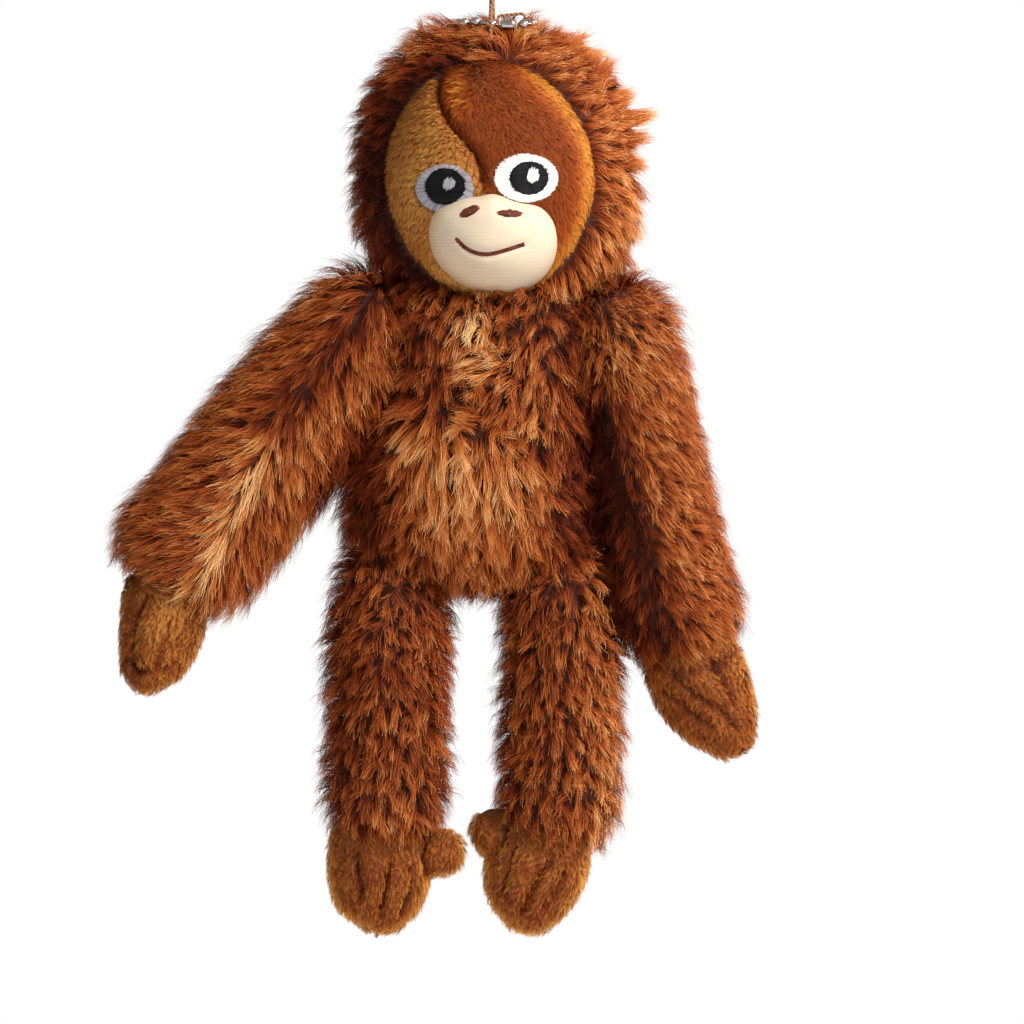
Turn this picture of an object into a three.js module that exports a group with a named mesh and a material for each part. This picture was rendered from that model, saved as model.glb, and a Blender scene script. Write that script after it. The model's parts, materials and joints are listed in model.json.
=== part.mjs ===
// A hanging plush orangutan: long-pile hood, body, sleeves and legs, short-pile face, hands and feet,
// a knitted muzzle, embroidered eyes, and a cord loop and ball chain on top of the head.
// Millimetres, +Z up. The toy faces -Y, so its own right side is on -X. The origin is the top of the
// cord loop that it hangs from.
import * as THREE from 'three';

// Driving dimensions

const CLOTH = 1.6; // thickness of the sewn cloth with its pile pressed flat
const GAP = 0.3; // clearance between neighbouring solids
const SEAM = 0.15; // half the gap along a seam between two panels
const TAPER = 0.4; // how much closer the stuffing lies to the cloth at its flat facets
const POLE = 0.8; // radius of the gathered hole where panels meet at a tip
const AROUND = 18; // steps around a whole limb, so half as many on each of two panels

const NECK_Z = -77.5; // the head turns on the body in this plane
const BODY_Y = 5; // depth of the body's middle behind the cord
const LIMB_Y = 4; // depth of the limbs' middle behind the cord

const HEAD = { x: 0.7, y: 6, z: -45.1, wide: 30.5, deep: 21, tall: 31.5 };
const FACE = { x: -0.5, y: -3, z: -50.4, wide: 24.5, deep: 22, tall: 28, edge: 80 };
const MUZZLE = { x: 0, z: -66, wide: 15, tall: 10, bulge: 3, cloth: 0.9 };
const THREAD = 0.5; // thickness of embroidery

const EYES = {
  right: { x: -11.3, z: -52.4, wide: 7, tall: 5.9, irisX: -11.7, irisZ: -51.9, iris: 4.4 },
  left: { x: 8.2, z: -49.9, wide: 7.7, tall: 5.9, irisX: 8.6, irisZ: -49.5, iris: 4.3 },
};
const GLINT = { aside: 0.9, above: 0.6, wide: 1.2, tall: 1.7 };
const NOSTRIL = { right: -5.8, left: 4.1, z: -57.8, wide: 2.6, tall: 0.8 };
const MOUTH = { from: -8.6, to: 7.4, corner: -65, dip: 3.2, half: 0.55 };

const TORSO_X = -1.7;
const SHOULDER = {
  right: { x: -28.8, z: -87.1, splay: 39.1, length: 79.5, wide: 15.5, deep: 12.5 },
  left: { x: 31.9, z: -86.4, splay: -11.8, length: 79, wide: 12.5, deep: 14 },
};
const CUFF = 3.5; // from a cuff's edge to the middle of the wrist or ankle
const OPEN_CUFF = 7; // length of a cuff without stuffing, which takes the top of the hand or foot
const HAND = { right: { tilt: 8 }, left: { tilt: -20 } };
const HIP_Z = -147;
const LEG = {
  right: { x: -23.3, tilt: 1.6, length: 61.3, radius: 11 },
  left: { x: 14.4, tilt: 0.5, length: 61.3, radius: 11 },
};
const FOOT = { right: { tilt: 3, toe: 1 }, left: { tilt: 11, toe: -1 } };

const BEAD = 1.2; // radius of a bead of the chain
const PITCH = 3.6; // from bead to bead
const WIRE = 0.35; // radius of the wire between beads
const CORD = 0.5; // radius of the hanging cord
const TAB = { half: 3.6, high: 1.2, thick: 0.6, foot: -2.8, ribbon: 4 };

// Materials

function cloth(color, roughness = 0.95) {
  return new THREE.MeshStandardMaterial({ color, roughness, metalness: 0 });
}
const longFur = cloth(0x8c481e);
const faceRust = cloth(0xa55019);
const faceOchre = cloth(0xb4732d);
const handFur = cloth(0xa5692e);
const muzzleKnit = cloth(0xf0e1cd);
const whiteThread = cloth(0xf8f8f4, 0.7);
const blackThread = cloth(0x18181a, 0.7);
const brownThread = cloth(0x5a2d23, 0.8);
const stuffingWool = cloth(0xf2f2ee, 1);
const cordMaterial = cloth(0x6e3c1e, 0.85);
const nickel = new THREE.MeshStandardMaterial({ color: 0xc8c8c8, roughness: 0.25, metalness: 1 });

// Solids from surfaces

const toy = new THREE.Group();

function solid(rings) {
  // Joins rings of points into one closed body. A ring of one point is a tip.
  const corners = rings.flat();
  const starts = [0];
  for (const ring of rings) starts.push(starts.at(-1) + ring.length);
  const faces = [];
  for (let i = 0; i + 1 < rings.length; i += 1) {
    const near = rings[i].length;
    const far = rings[i + 1].length;
    for (let j = 0; j < Math.max(near, far); j += 1) {
      const a = starts[i] + (near === 1 ? 0 : j % near);
      const b = starts[i] + (near === 1 ? 0 : (j + 1) % near);
      const c = starts[i + 1] + (far === 1 ? 0 : j % far);
      const d = starts[i + 1] + (far === 1 ? 0 : (j + 1) % far);
      if (near > 1) faces.push(a, b, d);
      if (far > 1) faces.push(a, d, c);
    }
  }
  return facing(corners, faces);
}

function facing(corners, faces) {
  // Turns every face over if the volume comes out negative.
  let volume = 0;
  for (let i = 0; i < faces.length; i += 3) {
    const [a, b, c] = [corners[faces[i]], corners[faces[i + 1]], corners[faces[i + 2]]];
    volume += a.dot(new THREE.Vector3().crossVectors(b, c));
  }
  if (volume < 0) faces.reverse();
  const geometry = new THREE.BufferGeometry();
  const positions = corners.flatMap((p) => p.toArray());
  geometry.setAttribute('position', new THREE.Float32BufferAttribute(positions, 3));
  geometry.setIndex(faces);
  geometry.computeVertexNormals();
  return geometry;
}

function panel(surface, inset, uSteps, vSteps, v0, v1) {
  // A sewn panel: surface(u, v, depth below the outside), with its thickness from 0 to inset.
  const rings = [];
  for (let i = 0; i <= uSteps; i += 1) {
    const ring = [];
    for (let j = 0; j <= vSteps; j += 1) {
      ring.push(surface(i / uSteps, THREE.MathUtils.lerp(v0, v1, j / vSteps), 0));
    }
    for (let j = vSteps; j >= 0; j -= 1) {
      ring.push(surface(i / uSteps, THREE.MathUtils.lerp(v0, v1, j / vSteps), inset));
    }
    rings.push(ring);
  }
  return capped(rings, (i, count) => [i, i + 1, count - 2 - i, count - 1 - i], vSteps);
}

function capped(rings, strip, steps) {
  // A tube of rings whose two ends are closed by strips of four-cornered faces.
  const count = rings[0].length;
  const corners = rings.flat();
  const faces = [];
  for (let i = 0; i + 1 < rings.length; i += 1) {
    for (let j = 0; j < count; j += 1) {
      const a = i * count + j;
      const b = i * count + (j + 1) % count;
      faces.push(a, b, b + count, a, b + count, a + count);
    }
  }
  const last = (rings.length - 1) * count;
  for (let j = 0; j < steps; j += 1) {
    const [a, b, c, d] = strip(j, count);
    faces.push(c, b, a, d, c, a);
    faces.push(last + a, last + b, last + c, last + a, last + c, last + d);
  }
  return facing(corners, faces);
}

function blob(surface, inset, uSteps, around) {
  // A closed stuffing: the whole surface, set in, with a tip at each end.
  const rings = [];
  for (let i = 0; i <= uSteps; i += 1) {
    const ring = [];
    const atTip = i === 0 || i === uSteps;
    for (let j = 0; j < (atTip ? 1 : around); j += 1) {
      ring.push(surface(i / uSteps, (j / around) * 2 * Math.PI, inset));
    }
    if (atTip) ring[0].copy(middleOf(surface, i / uSteps, inset));
    rings.push(ring);
  }
  return solid(rings);
}

function middleOf(surface, u, inset) {
  return surface(u, 0, inset).add(surface(u, Math.PI, inset)).multiplyScalar(0.5);
}

function lofted(stations, upright = true) {
  // A surface through oval stations [along, half width, half depth, shift across, shift in depth].
  // The inside is the outside drawn in towards the middle by the given depth.
  const widest = Math.max(...stations.map((s) => s[1]));
  const deepest = Math.max(...stations.map((s) => s[2]));
  const first = stations[0][0];
  const last = stations.at(-1)[0];
  const middle = (first + last) / 2;
  const reach = Math.abs(last - first) / 2;
  return (u, v, inset) => {
    const place = Math.min(u * (stations.length - 1), stations.length - 1 - 1e-9);
    const row = Math.floor(place);
    const [before, after] = [stations[row], stations[row + 1]];
    const blend = (k) => THREE.MathUtils.lerp(before[k] ?? 0, after[k] ?? 0, place - row);
    const along = middle + (blend(0) - middle) * (1 - inset / reach);
    const across = blend(3) + blend(1) * (1 - inset / widest) * Math.cos(v);
    const depth = blend(4) + blend(2) * (1 - inset / deepest) * Math.sin(v);
    return upright ? new THREE.Vector3(across, depth, -along) : new THREE.Vector3(across, along, depth);
  };
}

function put(parent, name, geometry, material) {
  const mesh = new THREE.Mesh(geometry, material);
  mesh.name = name;
  parent.add(mesh);
  return mesh;
}

function group(parent, x, y, z, tiltDegrees = 0) {
  const child = new THREE.Group();
  child.position.set(x, y, z);
  child.rotation.y = THREE.MathUtils.degToRad(tiltDegrees);
  parent.add(child);
  return child;
}

const QUARTER = Math.PI / 2;
const seamAngle = (radius) => SEAM / radius;

// Head: two hood panels with a seam over the crown, two face panels with a seam down the forehead

const aboveNeck = (surface) => (u, v, inset) => {
  const p = surface(u, v, inset);
  p.z = Math.max(p.z, NECK_Z + GAP / 2 + inset);
  return p;
};

const hoodStations = [
  [-6.4, 24.6, 27.9, FACE.x, -50.2],
  [-1, 28.4, 30.1, 0, -47.7],
  [HEAD.y, HEAD.wide, HEAD.tall, HEAD.x, -46],
  [15, 28, 29, HEAD.x, HEAD.z],
  [22, 20, 21, HEAD.x, HEAD.z],
  [25.8, 10, 10.5, HEAD.x, HEAD.z],
  [HEAD.y + HEAD.deep, POLE, POLE, HEAD.x, HEAD.z],
];
const hood = aboveNeck(lofted(hoodStations, false));
const half = seamAngle(HEAD.wide);
const sides = { left: [-QUARTER + half, QUARTER - half], right: [QUARTER + half, 3 * QUARTER - half] };
for (const [side, [v0, v1]] of Object.entries(sides)) {
  put(toy, `hood_${side}`, panel(hood, CLOTH, hoodStations.length - 1, AROUND / 2, v0, v1), longFur);
}

function faceSurface(u, v, inset) {
  const tip = Math.asin(POLE / FACE.wide);
  const bend = THREE.MathUtils.lerp(tip, THREE.MathUtils.degToRad(FACE.edge), u);
  return new THREE.Vector3(
    FACE.x + (FACE.wide - inset) * Math.sin(bend) * Math.cos(v),
    FACE.y - (FACE.deep - inset) * Math.cos(bend),
    FACE.z + (FACE.tall - inset) * Math.sin(bend) * Math.sin(v),
  );
}
const faceColours = { left: faceRust, right: faceOchre };
const faceRows = 7;
for (const [side, [v0, v1]] of Object.entries(sides)) {
  put(toy, `face_${side}`, panel(faceSurface, CLOTH, faceRows, AROUND / 2, v0, v1), faceColours[side]);
}

const headStuffing = [
  [-22.6, 0, 0, FACE.x, FACE.z],
  [-20.5, 9.2, 10.6, FACE.x, FACE.z],
  [-16, 16.2, 18.6, FACE.x, FACE.z],
  [-11, 20.2, 23.2, FACE.x, FACE.z],
  [-6.5, 21.4, 24.4, FACE.x, -50.2],
  [-1, 25.2, 26.4, 0, -48],
  [HEAD.y, 27.8, 28.6, HEAD.x, -46],
  [14, 25.4, 26.2, HEAD.x, HEAD.z],
  [20, 17.6, 18.4, HEAD.x, HEAD.z],
  [23.5, 0, 0, HEAD.x, HEAD.z],
];
const headInside = aboveNeck(lofted(headStuffing, false));
put(toy, 'head_stuffing', blob(headInside, 0, headStuffing.length - 1, 16), stuffingWool);

// Muzzle and embroidery: pieces that follow the face's front

function faceFront(x, z) {
  const across = (x - FACE.x) / FACE.wide;
  const up = (z - FACE.z) / FACE.tall;
  return FACE.y - FACE.deep * Math.sqrt(1 - across * across - up * up);
}

function muzzleFront(x, z) {
  const across = (x - MUZZLE.x) / MUZZLE.wide;
  const up = (z - MUZZLE.z) / MUZZLE.tall;
  const crown = Math.max(0, 1 - across * across - up * up);
  return faceFront(x, z) - GAP - MUZZLE.cloth - MUZZLE.bulge * crown;
}

function disc(outline, front, thickness, rings, around) {
  // outline(share, angle) gives [x, z]; the disc lies GAP in front of front(x, z).
  const layer = (share, lift) => {
    const ring = [];
    for (let j = 0; j < (share === 0 ? 1 : around); j += 1) {
      const [x, z] = outline(share, (j / around) * 2 * Math.PI);
      ring.push(new THREE.Vector3(x, front(x, z) - lift, z));
    }
    return ring;
  };
  const shares = Array.from({ length: rings + 1 }, (_, i) => i / rings);
  const top = shares.map((share) => layer(share, GAP + thickness));
  const bottom = shares.map((share) => layer(share, GAP)).reverse();
  return solid([...top, ...bottom]);
}

const oval = (x, z, wide, tall) => (share, angle) => [
  x + share * wide * Math.cos(angle),
  z + share * tall * Math.sin(angle),
];

function ringBand(inner, outer, front, thickness, around) {
  // A flat ring between two outlines, lying GAP in front of front(x, z).
  const edge = (outline, lift) => Array.from({ length: around }, (_, j) => {
    const [x, z] = outline(1, (j / around) * 2 * Math.PI);
    return new THREE.Vector3(x, front(x, z) - lift, z);
  });
  const top = GAP + thickness;
  const under = edge(inner, GAP);
  return solid([under, edge(outer, GAP), edge(outer, top), edge(inner, top), under]);
}

{
  const around = 20;
  const outline = oval(MUZZLE.x, MUZZLE.z, MUZZLE.wide, MUZZLE.tall);
  const behind = (x, z) => faceFront(x, z) - GAP;
  const layer = (share, depthOf) => Array.from({ length: share === 0 ? 1 : around }, (_, j) => {
    const [x, z] = outline(share, (j / around) * 2 * Math.PI);
    return new THREE.Vector3(x, depthOf(x, z), z);
  });
  const shares = [0, 0.3, 0.55, 0.78, 0.92, 1];
  const front = shares.map((share) => layer(share, muzzleFront));
  const back = shares.map((share) => layer(share, behind)).reverse();
  put(toy, 'muzzle_patch', solid([...front, ...back]), muzzleKnit);
}

for (const [side, eye] of Object.entries(EYES)) {
  const white = oval(eye.x, eye.z, eye.wide, eye.tall);
  const hole = oval(eye.irisX, eye.irisZ, eye.iris + GAP, eye.iris + GAP);
  const iris = oval(eye.irisX, eye.irisZ, eye.iris, eye.iris);
  const glint = oval(eye.irisX + GLINT.aside, eye.irisZ + GLINT.above, GLINT.wide, GLINT.tall);
  const onThread = (x, z) => faceFront(x, z) - GAP - THREAD;
  put(toy, `eye_white_${side}`, ringBand(hole, white, faceFront, THREAD, 24), whiteThread);
  put(toy, `eye_iris_${side}`, disc(iris, faceFront, THREAD, 2, 20), blackThread);
  put(toy, `eye_glint_${side}`, disc(glint, onThread, THREAD / 2, 1, 8), whiteThread);
  const nostril = oval(NOSTRIL[side], NOSTRIL.z, NOSTRIL.wide, NOSTRIL.tall);
  put(toy, `nostril_${side}`, disc(nostril, muzzleFront, THREAD, 1, 12), brownThread);
}

{
  const steps = 16;
  const rings = [];
  for (let i = 0; i <= steps; i += 1) {
    const x = THREE.MathUtils.lerp(MOUTH.from, MOUTH.to, i / steps);
    const z = MOUTH.corner - MOUTH.dip * Math.sin((i / steps) * Math.PI);
    const corner = (up, lift) => new THREE.Vector3(x, muzzleFront(x, z + up) - lift, z + up);
    const [up, down] = [MOUTH.half, -MOUTH.half];
    const thick = GAP + THREAD;
    rings.push([corner(down, GAP), corner(up, GAP), corner(up, thick), corner(down, thick)]);
  }
  put(toy, 'mouth_stitching', capped(rings, () => [0, 1, 2, 3], 1), brownThread);
}

// Body: two front panels, one back panel, and the stuffing. Between the legs it narrows to a crotch

const underBody = HIP_Z + LEG.right.radius + 2 * GAP;
const crotchX = (LEG.right.x + LEG.left.x) / 2 - TORSO_X;
const crotchHalf = (z) => {
  const apart = (LEG.left.x - LEG.right.x) / 2;
  return apart - Math.sqrt((LEG.left.radius + 0.5) ** 2 - (z - HIP_Z) ** 2);
};
const torsoStations = [
  [-NECK_Z + GAP / 2, 9, 8.5],
  [79.3, 14, 12],
  [83, 20, 15],
  [90, 23, 16.5],
  [105, 23.5, 17.5],
  [120, 23.5, 18],
  [130, 22.6, 17],
  [-underBody, 20.5, 15.5],
  [-underBody + GAP, crotchHalf(HIP_Z + 10), 15, crotchX],
  [141, crotchHalf(-141), 13, crotchX],
  [-HIP_Z, crotchHalf(HIP_Z), 10.5, crotchX],
  [151, 4.6, 7, crotchX],
  [153, POLE, POLE, crotchX],
];
const torso = lofted(torsoStations);
const body = group(toy, TORSO_X, BODY_Y, 0);
const rows = torsoStations.length - 1;
const bodySeam = seamAngle(17);
const bodyPanels = {
  torso_front_right: [AROUND / 3, 2 * QUARTER, 3 * QUARTER],
  torso_front_left: [AROUND / 3, -QUARTER, 0],
  torso_back: [AROUND / 2, 0, 2 * QUARTER],
};
for (const [name, [steps, v0, v1]] of Object.entries(bodyPanels)) {
  put(body, name, panel(torso, CLOTH, rows, steps, v0 + bodySeam, v1 - bodySeam), longFur);
}
const torsoStuffing = torsoStations.slice(0, 8).map(([s, w, d, x]) => [s, w - TAPER, d - TAPER, x]);
torsoStuffing[0] = [-NECK_Z + GAP / 2, 0, 0];
torsoStuffing.push([-underBody + 0.01, 0, 0]);
const bodyInside = blob(lofted(torsoStuffing), CLOTH + GAP, torsoStuffing.length - 1, 16);
put(body, 'torso_stuffing', bodyInside, stuffingWool);

// Limbs. A sleeve or leg is a round-topped tube with an open cuff, in two panels, over its stuffing

function limbStations(top, length, wide, deep, cuffWide, cuffDeep) {
  return [
    ...top,
    [length * 0.2, wide, deep],
    [length * 0.5, wide, deep],
    [length * 0.8, wide * 0.98, deep * 0.98],
    [length - CUFF, cuffWide, cuffDeep],
  ];
}

function stuffedLimb(parent, name, stations, panels) {
  const surface = lofted(stations);
  const seam = seamAngle(stations[4][1]);
  for (const [label, v0, v1] of panels) {
    const shape = panel(surface, CLOTH, stations.length - 1, AROUND / 2, v0 + seam, v1 - seam);
    put(parent, `${name}_${label}`, shape, longFur);
  }
  const inner = stations.map(([s, w, d, x]) => [s, w - TAPER, d - TAPER, x]);
  inner[0] = [stations[0][0], 0, 0, stations[0][3]];
  const end = stations.at(-1)[0] - OPEN_CUFF;
  inner[inner.length - 1] = [end - 2, inner.at(-2)[1], inner.at(-2)[2]];
  inner.push([end, 0, 0]);
  put(parent, `${name}_stuffing`, blob(lofted(inner), CLOTH + GAP, inner.length - 1, 12), stuffingWool);
}

function stuffedEnd(parent, name, stations, labels) {
  // A hand or foot: a round top inside the cuff and two panels with a seam around the edge.
  const surface = lofted(stations);
  const seam = seamAngle(10);
  labels.forEach((label, k) => {
    const [from, to] = [k * Math.PI + seam, (k + 1) * Math.PI - seam];
    const shape = panel(surface, CLOTH, stations.length - 1, AROUND / 2, from, to);
    put(parent, `${name}_${label}`, shape, handFur);
  });
  const drawn = (size) => Math.max(size - TAPER, 0.1);
  const inner = stations.map(([s, w, d, x]) => [s, drawn(w), drawn(d), x]);
  put(parent, `${name}_stuffing`, blob(lofted(inner), CLOTH + GAP, inner.length - 1, 12), stuffingWool);
}

function roundTop(radius, wide) {
  return [80, 55, 30].map((degrees) => {
    const angle = THREE.MathUtils.degToRad(degrees);
    return [-radius * Math.sin(angle), wide * Math.cos(angle), radius * Math.cos(angle)];
  });
}

const WRIST = 8.6; // radius of the hand's round top, in depth
const handTop = [[-WRIST, POLE, POLE], ...roundTop(WRIST, 9), [0, 9, WRIST]];
const handStations = {
  right: [
    ...handTop,
    [4, 9.4, 7.8, 0.4],
    [11, 10.2, 7, 0.6],
    [18, 8.8, 6.2],
    [23, 6, 4.6, -0.8],
    [26, POLE, POLE, -1],
  ],
  left: [
    ...handTop,
    [4, 10.8, 7.8, -1.2],
    [11, 11.6, 7, -1],
    [18, 10, 6.2, 0.2],
    [23, 7, 4.6, 1],
    [26, POLE, POLE, 1.4],
  ],
};

// Each sleeve's top is drawn to one side, so that it swings beside the body and never into it.
const sleeveTop = {
  right: [
    [-10.6, POLE, POLE, -6.4],
    [-9.4, 3.4, 5.5, -6.4],
    [-6, 6, 9.4, -6.6],
    [0, 9.4, 12, -5.4],
    [8, 13, 12.5, -2.4],
  ],
  left: [
    [-13, POLE, POLE, 1],
    [-12, 4, 5, 1],
    [-8.6, 8, 10, 1.2],
    [-3, 10.2, 13.2, 1.4],
    [6, 11.6, 14, 0.8],
  ],
};

for (const [side, arm] of Object.entries(SHOULDER)) {
  const shoulder = group(toy, arm.x, LIMB_Y, arm.z, arm.splay);
  const outerSide = arm.x > 0 ? [-QUARTER, QUARTER] : [QUARTER, 3 * QUARTER];
  const innerSide = arm.x > 0 ? [QUARTER, 3 * QUARTER] : [-QUARTER, QUARTER];
  const cuffWide = Math.max(arm.wide - 2.5, 11.6);
  const stations = limbStations(sleeveTop[side], arm.length, arm.wide, arm.deep, cuffWide, 11.8);
  stuffedLimb(shoulder, `arm_${side}`, stations, [['outer', ...outerSide], ['inner', ...innerSide]]);
  const wrist = group(shoulder, 0, 0, -arm.length, HAND[side].tilt - arm.splay);
  stuffedEnd(wrist, `hand_${side}`, handStations[side], ['palm', 'back']);
}

const ANKLE = 8.4; // radius of the foot's round top, in depth

for (const [side, leg] of Object.entries(LEG)) {
  const hip = group(toy, leg.x, LIMB_Y, HIP_Z, leg.tilt);
  const top = [[-leg.radius, POLE, POLE], ...roundTop(leg.radius, leg.radius), [0, leg.radius, leg.radius]];
  const stations = limbStations(top, leg.length, leg.radius, leg.radius, 10.8, 10.8);
  stuffedLimb(hip, `leg_${side}`, stations, [['back', 0, Math.PI], ['front', Math.PI, 2 * Math.PI]]);
  const toe = FOOT[side].toe;
  const footStations = [
    [-ANKLE, POLE, POLE],
    ...roundTop(ANKLE, 8.8),
    [0, 8.8, ANKLE],
    [3, 12.4, 8, 3.4 * toe],
    [9, 13.2, 8, 2.6 * toe],
    [15, 11.8, 7.6, 0.4 * toe],
    [20, 9, 5.4],
    [22.6, POLE, POLE],
  ];
  const ankle = group(hip, 0, 0, -leg.length, FOOT[side].tilt - leg.tilt);
  stuffedEnd(ankle, `foot_${side}`, footStations, ['sole', 'top']);
}

// What it hangs from: a cord loop sewn into the crown, a ribbon tab, and a ball chain with its clasp

const points = (list) => list.map((p) => new THREE.Vector3(...p));

function circle(radius, sides) {
  const shape = new THREE.Shape();
  for (let i = 0; i < sides; i += 1) {
    const angle = (i / sides) * 2 * Math.PI;
    if (i === 0) shape.moveTo(radius, 0);
    else shape.lineTo(radius * Math.cos(angle), radius * Math.sin(angle));
  }
  return shape;
}

const cordRoute = new THREE.CatmullRomCurve3(points([
  [-0.3, -2.2, -17.2],
  [-0.3, -2.1, -15],
  [-0.3, -1.9, -12],
  [-0.2, -1, -9],
  [-0.1, -1.6, -6.2],
  [0, -2.3, -3.6],
  [0, -1.6, -1.1],
  [0, 0, 0],
  [0, 1.6, -1.1],
  [0, 2.3, -3.6],
  [0.1, 1.6, -6.2],
  [0.2, 1, -9],
  [0.3, 1.9, -12],
  [0.3, 2.1, -14.5],
]));
const cordShape = new THREE.ExtrudeGeometry(circle(CORD, 8), { steps: 40, extrudePath: cordRoute });
put(toy, 'hang_cord', cordShape, cordMaterial);

function ribbonTab() {
  // A ribbon folded over and sewn into the crown, standing up as a low, wide arch.
  const { half, high, thick, foot, ribbon } = TAB;
  const turn = half - high;
  const shape = new THREE.Shape();
  shape.moveTo(-half, foot);
  shape.lineTo(-half, 0);
  shape.absarc(-turn, 0, high, Math.PI, QUARTER, true);
  shape.lineTo(turn, high);
  shape.absarc(turn, 0, high, QUARTER, 0, true);
  shape.lineTo(half, foot);
  shape.lineTo(half - thick, foot);
  shape.lineTo(half - thick, 0);
  shape.absarc(turn, 0, high - thick, 0, QUARTER, false);
  shape.lineTo(-turn, high - thick);
  shape.absarc(-turn, 0, high - thick, QUARTER, Math.PI, false);
  shape.lineTo(-half + thick, foot);
  shape.closePath();
  return new THREE.ExtrudeGeometry(shape, { depth: ribbon, bevelEnabled: false, curveSegments: 5 });
}
const tab = put(toy, 'hang_tab', ribbonTab(), cordMaterial);
tab.rotation.set(QUARTER, 0, 0.1);
tab.position.set(4.6, 7.6, -11.5);

const chainRoute = new THREE.CatmullRomCurve3(points([
  [1.5, 0, -13.1],
  [-1.6, 0, -12.8],
  [-4.4, 0.6, -12.4],
  [-6.8, 2.6, -12.7],
  [-8, 6, -12.9],
  [-8.2, 11, -13.9],
  [-8.2, 16.5, -17.3],
  [-8, 21.6, -22.8],
  [-7.6, 25.4, -29.6],
  [-5.4, 27.8, -35.4],
  [-0.6, 29, -38],
  [4.2, 28, -35.6],
  [7.4, 25.6, -29.8],
  [9.2, 21.8, -22.8],
  [10.2, 16.6, -17.4],
  [10.6, 11, -13.9],
  [10.4, 6, -12.8],
  [8.8, 1.8, -12.9],
  [5.9, 0, -13.2],
]), false, 'centripetal');

function beadedChain(route) {
  // Hollow balls on a thin wire, as one body of revolution around the route.
  const length = route.getLength();
  const beads = Math.round(length / PITCH);
  const shoulder = 0.85 * BEAD;
  const rise = [[0.08, WIRE], [0.2, shoulder], [0.38, BEAD]];
  const profile = [...rise, [0.62, BEAD], [0.8, shoulder], [0.92, WIRE]];
  const rings = [[route.getPointAt(0)]];
  const fine = beads * 12;
  const frames = route.computeFrenetFrames(fine, false);
  for (let bead = 0; bead < beads; bead += 1) {
    for (const [share, radius] of profile) {
      const u = (bead + share) / beads;
      const k = Math.round(u * fine);
      const centre = route.getPointAt(u);
      const ring = [];
      for (let j = 0; j < 8; j += 1) {
        const angle = (j / 8) * 2 * Math.PI;
        const p = centre.clone().addScaledVector(frames.normals[k], radius * Math.cos(angle));
        ring.push(p.addScaledVector(frames.binormals[k], radius * Math.sin(angle)));
      }
      rings.push(ring);
    }
  }
  rings.push([route.getPointAt(1)]);
  return solid(rings);
}
put(toy, 'ball_chain', beadedChain(chainRoute), nickel);

const CLASP = { long: 3.4, radius: 1.1, rim: 0.7, bevel: 0.4 };
const claspProfile = [
  [0, 0],
  [CLASP.rim, 0],
  [CLASP.radius, CLASP.bevel],
  [CLASP.radius, CLASP.long - CLASP.bevel],
  [CLASP.rim, CLASP.long],
  [0, CLASP.long],
];
const clasp = new THREE.LatheGeometry(claspProfile.map(([r, h]) => new THREE.Vector2(r, h)), 12);
const claspMesh = put(toy, 'chain_connector', clasp, nickel);
claspMesh.rotation.z = -QUARTER;
claspMesh.position.set(2, 0, -13.2);

export default toy;
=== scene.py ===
import json
import math

import bpy
import numpy as np
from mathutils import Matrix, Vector
from mathutils.kdtree import KDTree


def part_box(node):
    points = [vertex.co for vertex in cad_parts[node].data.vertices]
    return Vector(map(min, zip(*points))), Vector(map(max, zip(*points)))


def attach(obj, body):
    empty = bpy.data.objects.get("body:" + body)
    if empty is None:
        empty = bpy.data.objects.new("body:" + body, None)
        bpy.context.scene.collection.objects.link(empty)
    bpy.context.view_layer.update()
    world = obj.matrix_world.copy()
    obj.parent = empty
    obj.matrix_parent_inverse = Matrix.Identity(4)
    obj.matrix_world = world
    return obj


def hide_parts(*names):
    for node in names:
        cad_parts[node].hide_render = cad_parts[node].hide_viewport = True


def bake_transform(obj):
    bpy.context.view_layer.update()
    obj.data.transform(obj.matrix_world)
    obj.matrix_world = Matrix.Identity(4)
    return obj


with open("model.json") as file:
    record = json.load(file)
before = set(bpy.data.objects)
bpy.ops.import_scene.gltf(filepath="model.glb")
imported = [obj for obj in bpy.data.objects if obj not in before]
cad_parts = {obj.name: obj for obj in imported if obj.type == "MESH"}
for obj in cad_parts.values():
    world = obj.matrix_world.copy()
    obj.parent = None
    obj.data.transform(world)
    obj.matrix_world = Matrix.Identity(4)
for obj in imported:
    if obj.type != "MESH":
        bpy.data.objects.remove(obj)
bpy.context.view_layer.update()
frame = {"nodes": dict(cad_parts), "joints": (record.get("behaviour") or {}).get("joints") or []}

MM = 0.001

# Places from the frame

JOINT = {j["name"]: np.array(j["pos_m"]) / MM for j in frame["joints"]}
SIDES = ("right", "left")


def node_box(*nodes):
    corners = [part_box(n) for n in nodes]
    low = np.min([c[0] for c in corners], axis=0) / MM
    high = np.max([c[1] for c in corners], axis=0) / MM
    return low, high


def front_centre(node):
    """The middle of a node as [x, z], seen from the front."""
    low, high = node_box(node)
    return ((low + high) / 2)[[0, 2]]


def front_radii(node):
    """Half a node's width and height."""
    low, high = node_box(node)
    return ((high - low) / 2)[[0, 2]]


FACE_LOW, FACE_HIGH = node_box("face_left", "face_right")
HOOD_LOW, HOOD_HIGH = node_box("hood_left", "hood_right")
TORSO_LOW, TORSO_HIGH = node_box("torso_front_left", "torso_front_right", "torso_back")
FACE_MID = (FACE_LOW + FACE_HIGH) / 2
HOOD_MID = (HOOD_LOW + HOOD_HIGH) / 2
TORSO_MID = (TORSO_LOW + TORSO_HIGH) / 2
NECK = JOINT["neck_turn"]
UP = np.array([0.0, 0.0, 1.0])
DOWN = -UP
BACK = np.array([0.0, 1.0, 0.0])


# Small mathematics

def unit(v):
    return v / np.maximum(np.linalg.norm(v, axis=-1, keepdims=True), 1e-9)


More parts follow.
